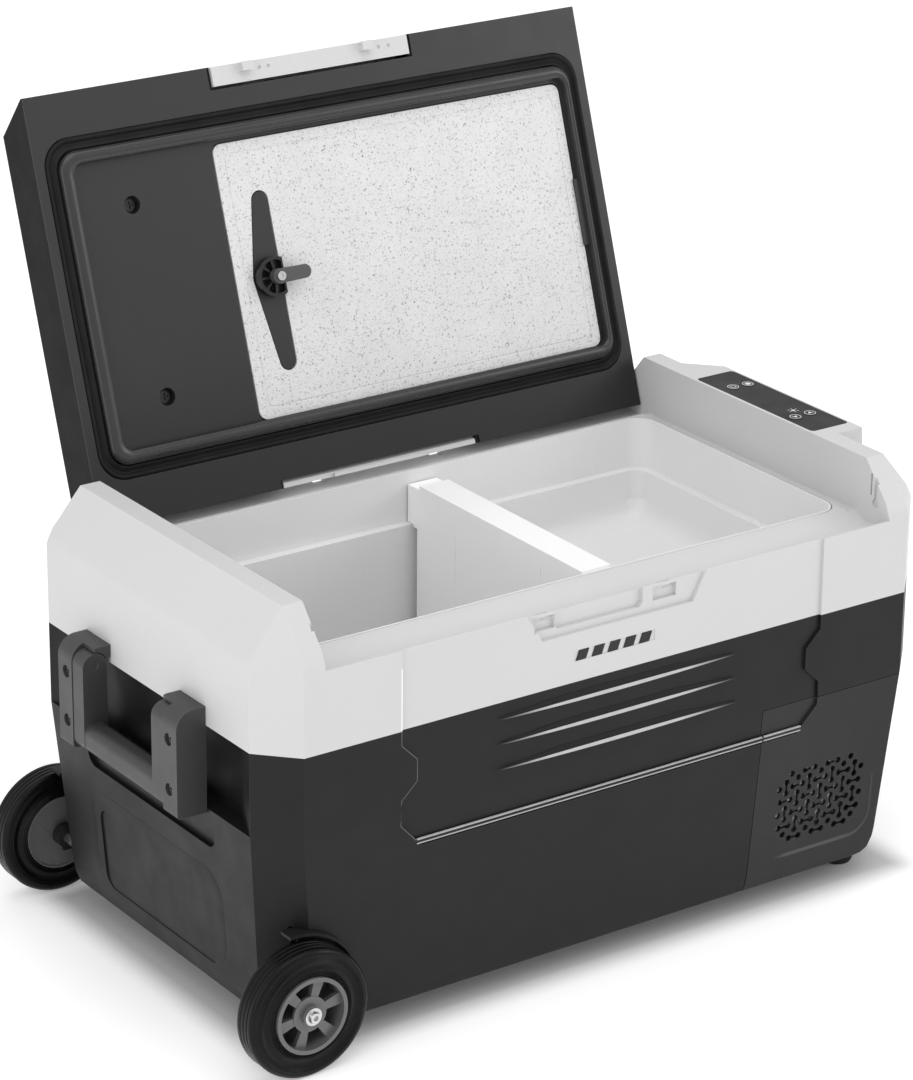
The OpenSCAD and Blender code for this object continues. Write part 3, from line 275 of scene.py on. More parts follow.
def paint_light_gradient(material, axis, places, factors):
    """Paints light and shade into a material: scales its colour by a factor that changes between
    two places along an axis.
    """
    tree = material.node_tree
    shader = [n for n in tree.nodes if n.bl_idname == "ShaderNodeBsdfPrincipled"][0]
    base = shader.inputs["Base Color"]
    colour = base.links[0].from_socket
    coord = tree.nodes.new("ShaderNodeTexCoord")
    split = tree.nodes.new("ShaderNodeSeparateXYZ")
    tree.links.new(coord.outputs["Object"], split.inputs[0])
    ramp = tree.nodes.new("ShaderNodeMapRange")
    ramp.interpolation_type = "SMOOTHSTEP"
    for key, limits in (("From", places), ("To", factors)):
        ramp.inputs[key + " Min"].default_value = limits[0]
        ramp.inputs[key + " Max"].default_value = limits[1]
    tree.links.new(split.outputs[axis], ramp.inputs["Value"])
    scale = tree.nodes.new("ShaderNodeVectorMath")
    scale.operation = "SCALE"
    tree.links.new(colour, scale.inputs[0])
    tree.links.new(ramp.outputs[0], scale.inputs["Scale"])
    tree.links.new(scale.outputs[0], base)


# ------------------------------------------------------------------ materials
# Key: name, tone, roughness, specular, grain strength, grain size (m), mottle, edge wear and
# painted edge highlight
PLASTICS = {
    "shell": ("shell_charcoal", 0.0085, 0.44, 0.22, 0.26, 0.0009, 0.06, 0.45),
    "lid": ("lid_charcoal", 0.012, 0.62, 0.10, 0.45, 0.0013, 0.06, 0.9),
    "lid_in": ("lid_liner_grey", 0.0195, 0.40, 0.42, 0.14, 0.0007, 0.06, 0.25),
    "bead": ("lid_bead_satin", 0.020, 0.26, 0.55, 0.08, 0.0007, 0.10, 0.0),
    "collar": ("collar_light", 0.585, 0.42, 0.30, 0.10, 0.0007, 0.012, 0.10),
    "liner": ("liner_light", 0.76, 0.38, 0.35, 0.05, 0.0009, 0.012, 0.0),
    "divider": ("divider_white", 0.93, 0.36, 0.35, 0.05, 0.0008, 0.010, 0.0),
    "latch": ("latch_light", 0.58, 0.40, 0.35, 0.08, 0.0006, 0.02, 0.2),
    # A lighter copy of the shell's charcoal: painted light on the compressor cover.
    "cover": ("cover_charcoal_painted_light", 0.0160, 0.44, 0.24, 0.26, 0.0009, 0.06, 0.45),
    "bracket": ("bracket_grey", 0.044, 0.42, 0.40, 0.24, 0.0008, 0.06, 0.6),
    "handle": ("handle_grey", 0.044, 0.42, 0.40, 0.28, 0.0008, 0.06, 0.6),
    "gloss": ("panel_black", 0.024, 0.42, 0.10, 0.0, 0.0006, 0.05, 0.0),
    "knob": ("knob_black", 0.008, 0.24, 0.45, 0.12, 0.0006, 0.06, 0.5),
    "lever": ("lever_grey", 0.070, 0.40, 0.40, 0.15, 0.0006, 0.06, 0.25),
    "inner": ("inner_black", 0.010, 0.55, 0.25, 0.2, 0.0009, 0.06, 0.0),
    "hub": ("hub_grey", 0.115, 0.32, 0.5, 0.12, 0.0006, 0.05, 0.3),
    "cap": ("cap_grey", 0.10, 0.30, 0.5, 0.10, 0.0006, 0.06, 0.3),  # spare, worn by no piece
    "pcb": ("circuit_board", 0.05, 0.35, 0.5, 0.1, 0.0006, 0.06, 0.0),
    "mark": ("mark_pale", 0.72, 0.4, 0.3, 0.05, 0.0006, 0.03, 0.0),
    "emblem": ("emblem_dark", 0.014, 0.30, 0.3, 0.05, 0.0006, 0.06, 0.0),
    "edge_dark": ("painted_edge_highlight_satin", 0.075, 0.34, 0.40, 0.08, 0.0006, 0.15, 0.0),
    "painted_edge_highlight_pale": ("painted_edge_highlight_pale", 0.86, 0.36, 0.35, 0.05, 0.0006, 0.01, 0.0),
}
PLASTIC_EXTRAS = {"lid": {"leather": 0.35}, "pcb": {"tint": (0.3, 1.0, 0.45)}}

MATERIALS = {
    key: plastic(*row, **PLASTIC_EXTRAS.get(key, {})) for key, row in PLASTICS.items()
}
MATERIALS.update({
    "seal": rubber("seal_rubber", tone=0.006, rough=0.60, spec=0.20),
    "tyre": rubber("tyre_rubber", tone=0.0030, rough=0.30, spec=0.16),
    "foot": rubber("foot_rubber", tone=0.014, rough=0.70, spec=0.25),
    "steel": grey_metal("steel_plated", tone=0.50, rough=0.32),
    "dark_steel": grey_metal("screw_blackened", tone=0.045, rough=0.38),
    "bolt_grey": grey_metal("screw_zinc_grey", tone=0.22, rough=0.34),
    "chrome": grey_metal("chrome_bolt", tone=0.62, rough=0.20, grain=0.05),
    "brushed": grey_metal("steel_brushed", tone=0.55, rough=0.36, stretch=(1, 30, 30)),
    "alu": grey_metal("aluminium_fins", tone=0.70, rough=0.34),
    "copper": metal("copper_tube", dark=(0.50, 0.22, 0.11), light=(0.68, 0.33, 0.18), rough=0.30),
    "foam": foam("insulation_foam", colour=(0.62, 0.56, 0.42)),
    "board": speckled("board_speckled", tone=0.68),
    "painted_highlight_rib": painted_highlight("painted_highlight_rib", ends=(-0.118, 0.122), full=(-0.070, 0.072), tone=0.50),
    "painted_highlight_line": painted_highlight("painted_highlight_line", ends=(-0.32, 0.32), full=(-0.21, 0.21), tone=0.44),
    "painted_highlight_vent": painted_highlight("painted_highlight_vent", ends=(0.176, 0.300), full=(0.192, 0.246), tone=0.055),
})

# Painted light and shade: the lid liner darker towards the bottom and brighter towards the right,
# the lid brighter towards its right end, and the compressor cover lighter at its left and darker
# at its right.
paint_light_gradient(MATERIALS["lid_in"], "Z", places=(0.33, 0.455), factors=(0.42, 1.0))
paint_light_gradient(MATERIALS["lid"], "X", places=(0.16, 0.30), factors=(1.0, 2.1))
paint_light_gradient(MATERIALS["cover"], "X", places=(0.16, 0.33), factors=(1.12, 0.80))
paint_light_gradient(MATERIALS["lid_in"], "X", places=(0.02, 0.27), factors=(1.0, 1.45))

# ------------------------------------------------------------------ CAD pieces
# Material of each CAD node
LOOK = {
    "lower_shell": "shell", "compressor_cover": "cover", "base_plate": "brushed",
    "collar": "collar", "inner_liner": "liner", "insulation_panels": "foam",
    "evaporator_plate": "alu", "compressor": "inner", "compressor_mounts": "foot",
    "condenser": "alu", "fan_shroud": "inner", "fan_rotor": "inner", "power_module": "alu",
    "refrigerant_lines": "copper", "wiring_harness": "inner", "power_inlet": "inner",
    "drain_tube": "liner", "drain_plug": "foot", "control_board": "pcb",
    "display_module": "gloss", "control_overlay": "gloss", "button_power": "gloss",
    "button_mode": "gloss", "button_down": "gloss", "button_up": "gloss", "emblem": "emblem",
    "divider": "divider", "lid_shell": "lid", "lid_liner": "lid_in", "lid_insulation": "foam",
    "lid_seal": "seal", "lid_screws": "dark_steel", "hinge_pins": "steel",
    "cutting_board": "board", "knob_base": "knob", "knob_lever": "lever",
    "knob_screw": "chrome", "latch_front": "latch", "latch_rear": "latch",
    "latch_pins": "steel", "latch_springs": "steel", "handle_brackets": "bracket",
    "bracket_screws": "bolt_grey", "handle_pins": "steel", "handle_left": "handle",
    "handle_right": "handle", "axle": "steel", "wheel_housings": "inner",
    "tyre_front": "tyre", "hub_front": "hub", "tyre_rear": "tyre", "hub_rear": "hub",
    "axle_caps": "chrome", "feet": "foot", "foot_screws": "steel",
}
# Edge rounding in metres; nodes not listed keep their edges
ROUND = {
    "lower_shell": 0.0007, "base_plate": 0.0006, "collar": 0.0008, "divider": 0.0009,
    "lid_shell": 0.0009, "lid_liner": 0.0007, "cutting_board": 0.0010, "latch_front": 0.0004,
    "latch_rear": 0.0004, "handle_brackets": 0.0010, "handle_left": 0.0008,
    "handle_right": 0.0008, "control_overlay": 0.0003, "emblem": 0.00015,
    "knob_lever": 0.0004, "knob_base": 0.0003, "power_inlet": 0.0008,
    "wheel_housings": 0.0006, "feet": 0.0008,
}


def dress(name):
    """Gives a CAD node its material, smooth shading and rounded edges."""
    node = NODES[name]
    mesh = node.data
    mesh.materials.clear()
    mesh.materials.append(MATERIALS[LOOK[name]])
    custom_normals = mesh.attributes.get("custom_normal")
    if custom_normals is not None:
        mesh.attributes.remove(custom_normals)
    mesh.polygons.foreach_set("use_smooth", [True] * len(mesh.polygons))
    mesh.polygons.foreach_set("material_index", [0] * len(mesh.polygons))
    weld = node.modifiers.new("weld", "WELD")
    weld.merge_threshold = 0.00001
    rounded = name in ROUND
    if rounded:
        # Merging flat facets first leaves only the moulded edges to bevel.
        flat = node.modifiers.new("flat", "DECIMATE")
        flat.decimate_type = "DISSOLVE"
        flat.angle_limit = math.radians(0.4)
        bevel = node.modifiers.new("round", "BEVEL")
        bevel.width = ROUND[name]
        bevel.segments = 2
        bevel.limit_method = "ANGLE"
        bevel.angle_limit = math.radians(24)
        bevel.use_clamp_overlap = True
        bevel.harden_normals = False
        bevel.miter_outer = "MITER_SHARP"
    split = node.modifiers.new("split", "EDGE_SPLIT")
    split.split_angle = math.radians(32)
    if rounded:
        normals = node.modifiers.new("normals", "WEIGHTED_NORMAL")
        normals.keep_sharp = True


for name in NODES:
    dress(name)


# ------------------------------------------------------------------ mesh helpers
def make(name, surface, material, body, split):
    """An object from (vertices, faces) that rides on a body; split is an angle in degrees."""
    mesh = bpy.data.meshes.new(name)
    mesh.from_pydata(surface[0], [], surface[1])
    work = bmesh.new()
    work.from_mesh(mesh)
    bmesh.ops.remove_doubles(work, verts=work.verts, dist=1e-7)
    bmesh.ops.recalc_face_normals(work, faces=work.faces)
    work.to_mesh(mesh)
    work.free()
    mesh.polygons.foreach_set("use_smooth", [True] * len(mesh.polygons))
    mesh.materials.append(MATERIALS[material])
    piece = bpy.data.objects.new(name, mesh)
    COLLECTION.objects.link(piece)
    modifier = piece.modifiers.new("split", "EDGE_SPLIT")
    modifier.split_angle = math.radians(split)
    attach(piece, body)
    return piece


def loft(rings, closed=False):
    """Surface through equal rings: the last joins the first if closed, else both are capped."""
    size, count = len(rings[0]), len(rings)
    verts = [point for ring in rings for point in ring]
    faces = []
    for i in range(count if closed else count - 1):
        a, b = i * size, ((i + 1) % count) * size
        for j in range(size):
            k = (j + 1) % size
            faces.append((a + j, a + k, b + k, b + j))
    if not closed:
        faces.append(tuple(range(size)))
        faces.append(tuple((count - 1) * size + j for j in range(size)))
    return verts, faces


def round_rect(x0, y0, x1, y1, radius, segments=14):
    """Outline of a rounded rectangle, with this many segments at each corner."""
    corners = (
        (x1 - radius, y1 - radius, 0),
        (x0 + radius, y1 - radius, 90),
        (x0 + radius, y0 + radius, 180),
        (x1 - radius, y0 + radius, 270),
    )
    points = []
    for cx, cy, start in corners:
        for i in range(segments + 1):
            angle = math.radians(start + 90 * i / segments)
            points.append((cx + radius * math.cos(angle), cy + radius * math.sin(angle)))
    return points


# ------------------------------------------------------------------ lid
HINGE_Y, HINGE_Z = 0.1693, 0.3283  # hinge line, metres
OPEN = math.radians(-108.5)
LID_Z = 318.7  # reference height on the underside of the closed lid, mm


def lid_point(x, y, z):
    """A point of the closed lid, in mm, swung open with it, in metres."""
    y, z = y * MM - HINGE_Y, z * MM - HINGE_Z
    return (
        x * MM,
        HINGE_Y + y * math.cos(OPEN) - z * math.sin(OPEN),
        HINGE_Z + y * math.sin(OPEN) + z * math.cos(OPEN),
    )


def lid_ring(rectangle, z):
    return [lid_point(x, y, z) for x, y in round_rect(*rectangle)]


# Rounded rectangles: x0, y0, x1, y1, corner radius
BEAD_OUTER = (-261.4, -131.9, 261.4, 131.9, 16.4)
BEAD_INNER = (-249.4, -121.4, 256.8, 121.4, 9.5)
BEAD_STEPS = 14
BEAD_ROOT_Z = LID_Z - 3.4
BEAD_EDGE_Z = LID_Z - 4


def lid_bead():
    """Rounded bead that frames the lid's panel, inside the seal."""
    rings = [lid_ring(BEAD_OUTER, BEAD_ROOT_Z)]
    for i in range(BEAD_STEPS + 1):
        t = i / BEAD_STEPS
        height = 0.3 + 2.3 * math.sin(math.pi * t) ** 0.6
        between = [a + (b - a) * t for a, b in zip(BEAD_OUTER, BEAD_INNER)]
        rings.append(lid_ring(between, BEAD_EDGE_Z - height))
    rings.append(lid_ring(BEAD_INNER, BEAD_ROOT_Z))
    make("lid_bead", loft(rings, closed=True), "bead", "lid", split=70)


SEAL_HALF_X, SEAL_HALF_Y, SEAL_CORNER = 273, 144.5, 24.5
# Seal section, mm: inset from the outer rectangle, height above LID_Z
SEAL_SECTION = (
    (0.4, 4.6), (0.4, -0.9), (1.2, -1.5), (2.4, -1.55), (3.4, -0.9),
    (4.1, 0.1), (5.0, 0.9), (5.8, 0.8), (6.8, -0.1), (7.9, -0.9),
    (8.6, -1.6), (9.4, -1.85), (10.1, -1.5), (10.4, -0.8), (10.4, 4.6),
)


def seal_lips():
    """Seal with two lips round the lid's rim."""
    rings = []
    for inset, z in SEAL_SECTION:
        half_x = SEAL_HALF_X - inset
        half_y = SEAL_HALF_Y - inset * 1.06
        corner = SEAL_CORNER - inset * 0.72
        rings.append(lid_ring((-half_x, -half_y, half_x, half_y, corner), LID_Z + z))
    seal = make("seal_lips", loft(rings, closed=True), "seal", "lid", split=60)
    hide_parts("lid_seal")


lid_bead()
seal_lips()

# ------------------------------------------------------------------ front face strips and bars painted as highlights
FRONT_Y = -0.1887  # upright upper part of the front face, metres
TAPER_TOP = 176.4  # the wall below this height leans inwards, mm
TAPER_DEPTH = 10.5  # how far it has leant in at z = 0, mm


def front_point(x, z, out):
    """A point on the front face at (x, z) mm, standing out mm proud of it, in metres."""
    y = FRONT_Y + (TAPER_DEPTH * (1 - z / TAPER_TOP) * MM if z < TAPER_TOP else 0.0)
    return (x * MM, y - out * MM, z * MM)


LENS_STEPS = 60
LENS_WIDTH, LENS_TIP_WIDTH = 3.3, 0.06
LENS_SAG = 0.8  # dip of the strip's middle below its ends
LENS_PROUD = 0.32
LENS_SINK = 0.25
CREST_Y = FRONT_Y + 0.05 * MM


def lens_strip(name, x0, x1, z):
    """Slim strip along a rib's crest, painted as its highlight: rounded in front, pointed at both
    ends.
    """
    rings = []
    back_y = CREST_Y + LENS_SINK * MM
    for i in range(LENS_STEPS + 1):
        t = i / LENS_STEPS
        x = (x0 + (x1 - x0) * t) * MM
        swell = math.sin(math.pi * t)
        half = max(LENS_TIP_WIDTH, LENS_WIDTH * swell ** 0.75) / 2
        middle = z - LENS_SAG * swell
        ring = []
        for k in range(9):
            angle = math.pi * k / 8
            y = CREST_Y - LENS_PROUD * MM * math.sin(angle) * min(1.0, half)
            ring.append((x, y, (middle + half * math.cos(angle)) * MM))
        ring.append((x, back_y, (middle - half) * MM))
        ring.append((x, back_y, (middle + half) * MM))
        rings.append(ring)
    make(name, loft(rings), "painted_highlight_rib", "cabinet", split=50)


def bar_run(name, points, halves, proud, sink, material):
    """Slim half-round bar through (x, z) points of the front face, with a half width at each."""
    rings = []
    for i, (x, z) in enumerate(points):
        before, after = points[max(0, i - 1)], points[min(len(points) - 1, i + 1)]
        dx, dz = after[0] - before[0], after[1] - before[1]
        length = math.hypot(dx, dz)
        across_x, across_z = -dz / length, dx / length
        ring = []
        for k in range(7):
            angle = math.pi * k / 6
            offset = halves[i] * math.cos(angle)
            height = proud * math.sin(angle)
            ring.append(front_point(x + across_x * offset, z + across_z * offset, height))
        for offset in (-halves[i], halves[i]):
            ring.append(front_point(x + across_x * offset, z + across_z * offset, -sink))
        rings.append(ring)
    make(name, loft(rings), material, "cabinet", split=50)


# Painted highlight strips on the rib crests: x at the left end, x at the right end, z
RIBS = ((-119, 124, 234.6), (-121, 126, 212.9), (-123, 129, 190.5))
# Pair of level lines painted as highlights on the ledge below the panel: name, z, half width,
# proud, sink
PANEL_LINES = (("upper", 149.3, 0.58, 0.25, 1.6), ("lower", 145.7, 0.54, 0.22, 1.0))
PANEL_LINE_SPANS = (("left", -197.0, 155.6), ("right", 157.4, 197.3))
PANEL_LINE_STEPS = 12


def panel_lines():
    for side, x0, x1 in PANEL_LINE_SPANS:
        for level, z, half, proud, sink in PANEL_LINES:
            points = [
                (x0 + (x1 - x0) * i / PANEL_LINE_STEPS, z) for i in range(PANEL_LINE_STEPS + 1)
            ]
            name = "panel_line_" + level + "_" + side
            bar_run(name, points, [half] * len(points), proud, sink, "painted_highlight_line")


VENT_START_X = 178
VENT_CORNER_X, VENT_CORNER_Z, VENT_CORNER_R = 262, 48.6, 22  # centre and radius of the bend
VENT_FLAT_POINTS = 43
VENT_HALF = 1.7


def vent_frame():
    """Bar along the lower right, a painted highlight on the vent frame, bent upwards at its right
    end; it thins out at both ends.
    """
    low_z = VENT_CORNER_Z - VENT_CORNER_R
    points = [(VENT_START_X + i * 2.0, low_z) for i in range(VENT_FLAT_POINTS)]
    for degrees in range(8, 91, 6):
        angle = math.radians(degrees)
        points.append((
            VENT_CORNER_X + VENT_CORNER_R * math.sin(angle),
            VENT_CORNER_Z - VENT_CORNER_R * math.cos(angle),
        ))
    points += [(VENT_CORNER_X + VENT_CORNER_R, 50 + i * 4) for i in range(9)]
    halves = []
    for i in range(len(points)):
        if i < VENT_FLAT_POINTS:
            halves.append(min(1.0, 0.15 + i / 8.0) * VENT_HALF)
        else:
            halves.append(VENT_HALF - 0.9 * min(1.0, (i - VENT_FLAT_POINTS) / 12.0))
    bar_run("vent_frame_painted_highlight", points, halves, proud=0.05, sink=1.1, material="painted_highlight_vent")


EDGE_X = -213.3
# Left edge of the recessed centre panel, with a painted highlight along it, from the top down: x,
# z
SHELL_EDGE = (
    (EDGE_X, 248.2), (EDGE_X, 236), (-198.3, 221), (-198.3, 202),
    (EDGE_X, 188), (-213.6, 166), (-198, 149.2),
)
COLLAR_EDGE = [(EDGE_X, 249.2 + i * 5.3) for i in range(11)]

for number, (x0, x1, z) in enumerate(RIBS, 1):
    lens_strip("rib_painted_highlight_%d" % number, x0, x1, z)
panel_lines()
vent_frame()
# Painted highlights along the centre panel's left edge, dim on the shell and pale on the collar.
bar_run("panel_edge_shell", SHELL_EDGE, [0.42] * len(SHELL_EDGE), 0.12, 0.7, "edge_dark")
bar_run("panel_edge_collar", COLLAR_EDGE, [0.60] * len(COLLAR_EDGE), 0.14, 0.7, "painted_edge_highlight_pale")

# ------------------------------------------------------------------ symbols on the keys
PANEL_TOP = 364.7
KEY_TOP = PANEL_TOP + 0.35
FILM_SINK, FILM_HEIGHT = 0.05, 0.12
POWER_KEY = (301, 47)
MODE_KEY = (317, 46)
# Body, centre, and the direction along Y in which the arrow points
ARROW_KEYS = (("down_key", (298, -43.5), -1), ("up_key", (315, -42.8), 1))
INDICATOR = (307.0, -29.5)
INDICATOR_DISC_R = 1.7


def symbol(name, outlines, z, body):
    """Thin raised film: each outline is a list of (x, y), or a tuple (outer, inner)."""
    low, high = z - FILM_SINK, z + FILM_HEIGHT
    verts, faces = [], []
    for outline in outlines:
        hollow = isinstance(outline, tuple)
        if hollow:
            outer, inner = outline
            levels = ((outer, low), (outer, high), (inner, high), (inner, low))
        else:
            levels = ((outline, low), (outline, high))
        rings = [[(x * MM, y * MM, level * MM) for x, y in points] for points, level in levels]
        part_verts, part_faces = loft(rings, closed=hollow)
        faces += [tuple(i + len(verts) for i in face) for face in part_faces]
        verts += part_verts
    make(name, (verts, faces), "mark", body, split=30)


def arc_points(x, y, radius, start, end, count):
    angles = [math.radians(start + (end - start) * i / (count - 1)) for i in range(count)]
    return [(x + radius * math.cos(a), y + radius * math.sin(a)) for a in angles]


def circle(x, y, radius, count=48):
    return arc_points(x, y, radius, 0, 360, count + 1)[:-1]


def key_ring(x, y, radius=5.2, width=0.62):
    return (circle(x, y, radius), circle(x, y, radius - width))


def power_symbol(x, y):
    outer, inner = 2.9, 2.3
    broken_ring = arc_points(x, y, outer, 120, 420, 24) + arc_points(x, y, inner, 420, 120, 24)
    half, low, high = 0.3, y + 0.7, y + 3.3
    stroke = [(x - half, low), (x + half, low), (x + half, high), (x - half, high)]
    symbol("symbol_power", [key_ring(x, y), broken_ring, stroke], KEY_TOP, "power_key")


def mode_symbol(x, y):
    """Gear with twelve teeth."""
    gear = []
    for i in range(12):
        for turn, radius in ((-9, 2.3), (-5, 3.1), (5, 3.1), (9, 2.3)):
            angle = math.radians(i * 30 + turn)
            gear.append((x + radius * math.cos(angle), y + radius * math.sin(angle)))
    symbol("symbol_mode", [key_ring(x, y), gear], KEY_TOP, "mode_key")


def arrow_symbol(body, x, y, tip):
    arrow = [
        (x - 2.7, y - 1.9 * tip), (x, y - 0.7 * tip),
        (x + 2.7, y - 1.9 * tip), (x, y + 2.8 * tip),
    ]
    symbol("symbol_" + body[:-4], [key_ring(x, y), arrow], KEY_TOP, body)


def indicator_symbol(x, y):
    """Disc with six short rays."""
    outlines = [circle(x, y, INDICATOR_DISC_R, count=20)]
    for degrees in range(20, 380, 60):
        cos, sin = math.cos(math.radians(degrees)), math.sin(math.radians(degrees))
        # Ray corners: distance from the centre, offset to the side
        corners = ((3.0, 0.3), (3.0, -0.3), (5.0, -0.3), (5.0, 0.3))
        outlines.append([(x + cos * r - sin * s, y + sin * r + cos * s) for r, s in corners])
    symbol("symbol_indicator", outlines, PANEL_TOP, "cabinet")


power_symbol(*POWER_KEY)
mode_symbol(*MODE_KEY)
for body, centre, tip in ARROW_KEYS:
    arrow_symbol(body, *centre, tip)
indicator_symbol(*INDICATOR)

# ------------------------------------------------------------------ wheels
AXLE_X, AXLE_Z = -0.3132, 0.0370
WHEEL_Y = 0.184  # distance from the centre plane at which wheel sections start, metres

TYRE_R = 55.6
TYRE_MIDDLE = 14.0  # from WHEEL_Y outwards, mm
SIDE_Z = 12.0 + 0.2  # sidewall, out from the tyre's middle plane
SIDE_START_R, SHOULDER_R = 33.05, 50.5
SHOULDER_Z = 7.2
SHOULDER_RIB = 0.196
# Rings on the sidewall: radius, half width, height
SIDE_RIBS = (
    (34.3, 0.8, 0.9), (36.0, 0.8, 0.9), (37.7, 0.8, 0.8),
    (46.6, 0.6, 0.55), (48.2, 0.6, 0.55), (49.8, 0.6, 0.5),
)
TREAD_GROOVES = (4.6, 0.0, -4.6)
# Section of the web, mm: radius, distance out from WHEEL_Y
WEB_SECTION = (
    (8.35, 3.9), (12.0, 3.0), (24.0, 3.6), (28.0, 2.9), (29.9, 2.9),
    (29.9, 4.3), (27.0, 4.3), (24.0, 4.9), (12.0, 4.5), (8.35, 5.0),
)


def ridge(place, middle, half_width, height):
    """Height of a cosine ridge at a place."""
    distance = abs(place - middle) / half_width
    return height * (math.cos(math.pi * distance) + 1) / 2 if distance < 1 else 0.0


def tyre_section():
    """Closed tyre section as (radius, distance out from WHEEL_Y) in mm."""
    half = []
    for i in range(88):
        r = SIDE_START_R + 0.2 * i
        z = SIDE_Z - 1.5 * math.exp(-((r - 42.5) / 3.2) ** 2)
        half.append((r, z + sum(ridge(r, *rib) for rib in SIDE_RIBS)))
    for k in range(15):
        angle = math.radians(90 - 90 * k / 14)
        r = SHOULDER_R + (TYRE_R - SHOULDER_R) * math.cos(angle)
        z = SHOULDER_Z + (SIDE_Z - SHOULDER_Z) * math.sin(angle)
        half.append((r + (SHOULDER_RIB if k % 3 == 1 else 0.0), z))
    tread = []
    for i in range(57):
        z = 7.0 - 0.25 * i
        depth = sum(ridge(z, groove, 0.9, 1.0) for groove in TREAD_GROOVES)
        tread.append((TYRE_R - depth - 0.05 * (z / 7) ** 2, z))
    section = half + tread + [(r, -z) for r, z in reversed(half)]
    return [(r, TYRE_MIDDLE + z) for r, z in section]


def turn(section, side, count):
    """Turns a section round the axle; side is -1 for the front wheel and 1 for the rear."""
    rings = []
    for i in range(count):
        angle = 2 * math.pi * i / count
        cos, sin = math.cos(angle), math.sin(angle)
        rings.append([
            (AXLE_X + r * MM * cos, side * (WHEEL_Y + z * MM), AXLE_Z + r * MM * sin)
            for r, z in section
        ])
    return loft(rings, closed=True)


WHEELS = (("front", -1), ("rear", 1))
for end, side in WHEELS:
    surface = turn(tyre_section(), side, count=160)
    tyre = make("tyre_" + end + "_ribbed", surface, "tyre", end + "_wheel", split=60)
    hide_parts("tyre_" + end)

# Dished web that closes the inner side of each hub
for end, side in WHEELS:
    make("hub_web_" + end, turn(WEB_SECTION, side, count=120), "hub", end + "_wheel", split=40)

# ------------------------------------------------------------------ camera
scene = bpy.context.scene
CAMERA_PLACE = (-1.83737, -2.56992, 1.56315)
# The camera's own axes in the scene: right, up, back
CAMERA_AXES = (
    (0.82473328, -0.56548661, 0.00631759),
    (0.20392278, 0.30779352, 0.92934313),
    (-0.52747561, -0.76517191, 0.36916316),
)

camera_data = bpy.data.cameras.new("camera")
camera_data.lens = 134.286
camera_data.sensor_width = 36.0
camera_data.shift_x = 0.0323
camera_data.shift_y = -0.0082
camera_data.clip_start = 0.05
camera_data.clip_end = 60
camera = bpy.data.objects.new("camera", camera_data)
pose = Matrix([Vector(axis).normalized() for axis in CAMERA_AXES]).transposed().to_4x4()
pose.translation = Vector(CAMERA_PLACE)
camera.matrix_world = pose
COLLECTION.objects.link(camera)
scene.camera = camera

# ------------------------------------------------------------------ floor
GROUND_Z = -0.01865
PAINTED_SHADOW_PATCH = (("X", 0.318), ("Y", 0.172))  # half sizes of the painted shadow patch under the box, metres


def floor_material():
    """Pale, faintly glowing floor with a painted shadow under the box: darker colour and no glow
    there.
    """
    mat = Graph("floor_pale")
    mat.put("Roughness", 0.8)
    mat.put("Specular IOR Level", 0.1)
    split = mat.add("ShaderNodeSeparateXYZ")
    mat.link(mat.coord, split.inputs["Vector"])
    outside = []
    for axis, reach in PAINTED_SHADOW_PATCH:
        distance = mat.math("ABSOLUTE", split.outputs[axis], 0.0)
        distance = mat.math("SUBTRACT", distance, reach)
        outside.append(mat.math("MAXIMUM", distance, 0.0))
    squares = [mat.math("MULTIPLY", distance, distance) for distance in outside]
    away = mat.math("SQRT", mat.math("ADD", *squares), 0.0)
    clear = mat.remap(away, source=(-0.01, 0.034), curve="SMOOTHSTEP")
    mat.put("Base Color", mat.mix(clear, grey(0.52), grey(0.93)))
    emission = mat.add("ShaderNodeEmission")
    mat.feed(emission.inputs["Color"], (1, 1, 1))
    mat.feed(emission.inputs["Strength"], mat.math("MULTIPLY", clear, 0.29))
    both = mat.add("ShaderNodeAddShader")
    mat.link(mat.shader.outputs["BSDF"], both.inputs[0])
    mat.link(emission.outputs["Emission"], both.inputs[1])
    mat.link(both.outputs["Shader"], mat.out.inputs["Surface"])
    return mat.finish()


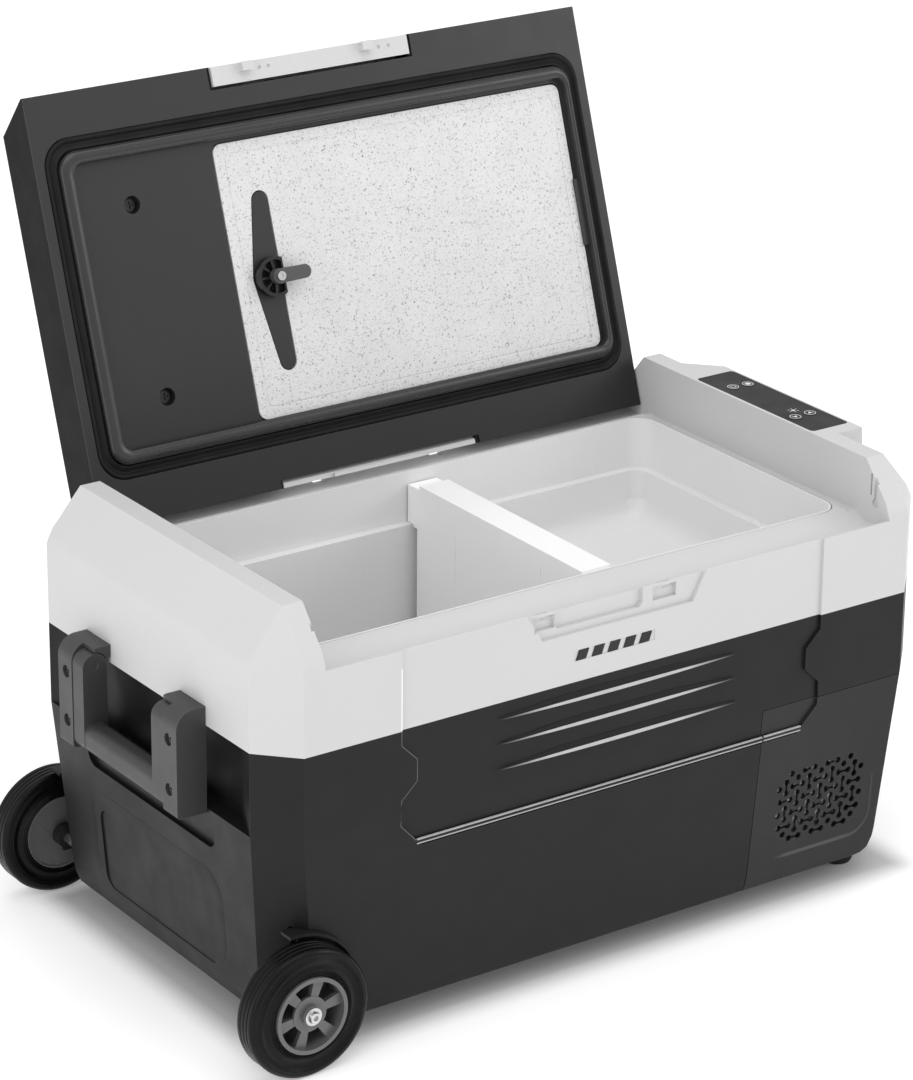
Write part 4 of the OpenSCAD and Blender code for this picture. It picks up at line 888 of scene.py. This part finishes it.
floor_mesh = bpy.data.meshes.new("floor")
grid = bmesh.new()
bmesh.ops.create_grid(grid, x_segments=8, y_segments=8, size=14)
grid.to_mesh(floor_mesh)
grid.free()
floor = bpy.data.objects.new("floor", floor_mesh)
floor.location = (0, 0, GROUND_Z)
COLLECTION.objects.link(floor)
floor_mesh.materials.append(floor_material())

# ------------------------------------------------------------------ world and lights
LIGHTING_STRENGTH = 0.80
BACKDROP_STRENGTH = 1.2  # what the camera sees directly

world = bpy.data.worlds.new("studio")
world.use_nodes = True
scene.world = world
world_tree = world.node_tree
world_tree.nodes.clear()
world_out = world_tree.nodes.new("ShaderNodeOutputWorld")
backgrounds = []
for strength in (LIGHTING_STRENGTH, BACKDROP_STRENGTH):
    background = world_tree.nodes.new("ShaderNodeBackground")
    background.inputs["Color"].default_value = (1, 1, 1, 1)
    background.inputs["Strength"].default_value = strength
    backgrounds.append(background)
light_path = world_tree.nodes.new("ShaderNodeLightPath")
chooser = world_tree.nodes.new("ShaderNodeMixShader")
world_tree.links.new(light_path.outputs["Is Camera Ray"], chooser.inputs["Fac"])
for i, background in enumerate(backgrounds, 1):
    world_tree.links.new(background.outputs[0], chooser.inputs[i])
world_tree.links.new(chooser.outputs[0], world_out.inputs["Surface"])


def softbox(name, place, target, size, power):
    """Square area light aimed at a target."""
    data = bpy.data.lights.new(name, "AREA")
    data.energy = power
    data.size = size
    light = bpy.data.objects.new(name, data)
    light.location = place
    aim = Vector(target) - Vector(place)
    light.rotation_euler = aim.to_track_quat("-Z", "Y").to_euler()
    COLLECTION.objects.link(light)


softbox("softbox_top", place=(-0.2, -0.5, 2.7), target=(0, 0, 0.2), size=2.4, power=20)
softbox("softbox_left", place=(-2.6, -0.6, 1.2), target=(0, 0, 0.2), size=2.0, power=14)
softbox("softbox_front_right", place=(2.8, -2.0, 2.0), target=(0, 0.1, 0.4), size=1.7, power=22)

scene.view_settings.view_transform = "Standard"
scene.view_settings.look = "None"
scene.view_settings.exposure = 0.0
scene.view_settings.gamma = 1.0
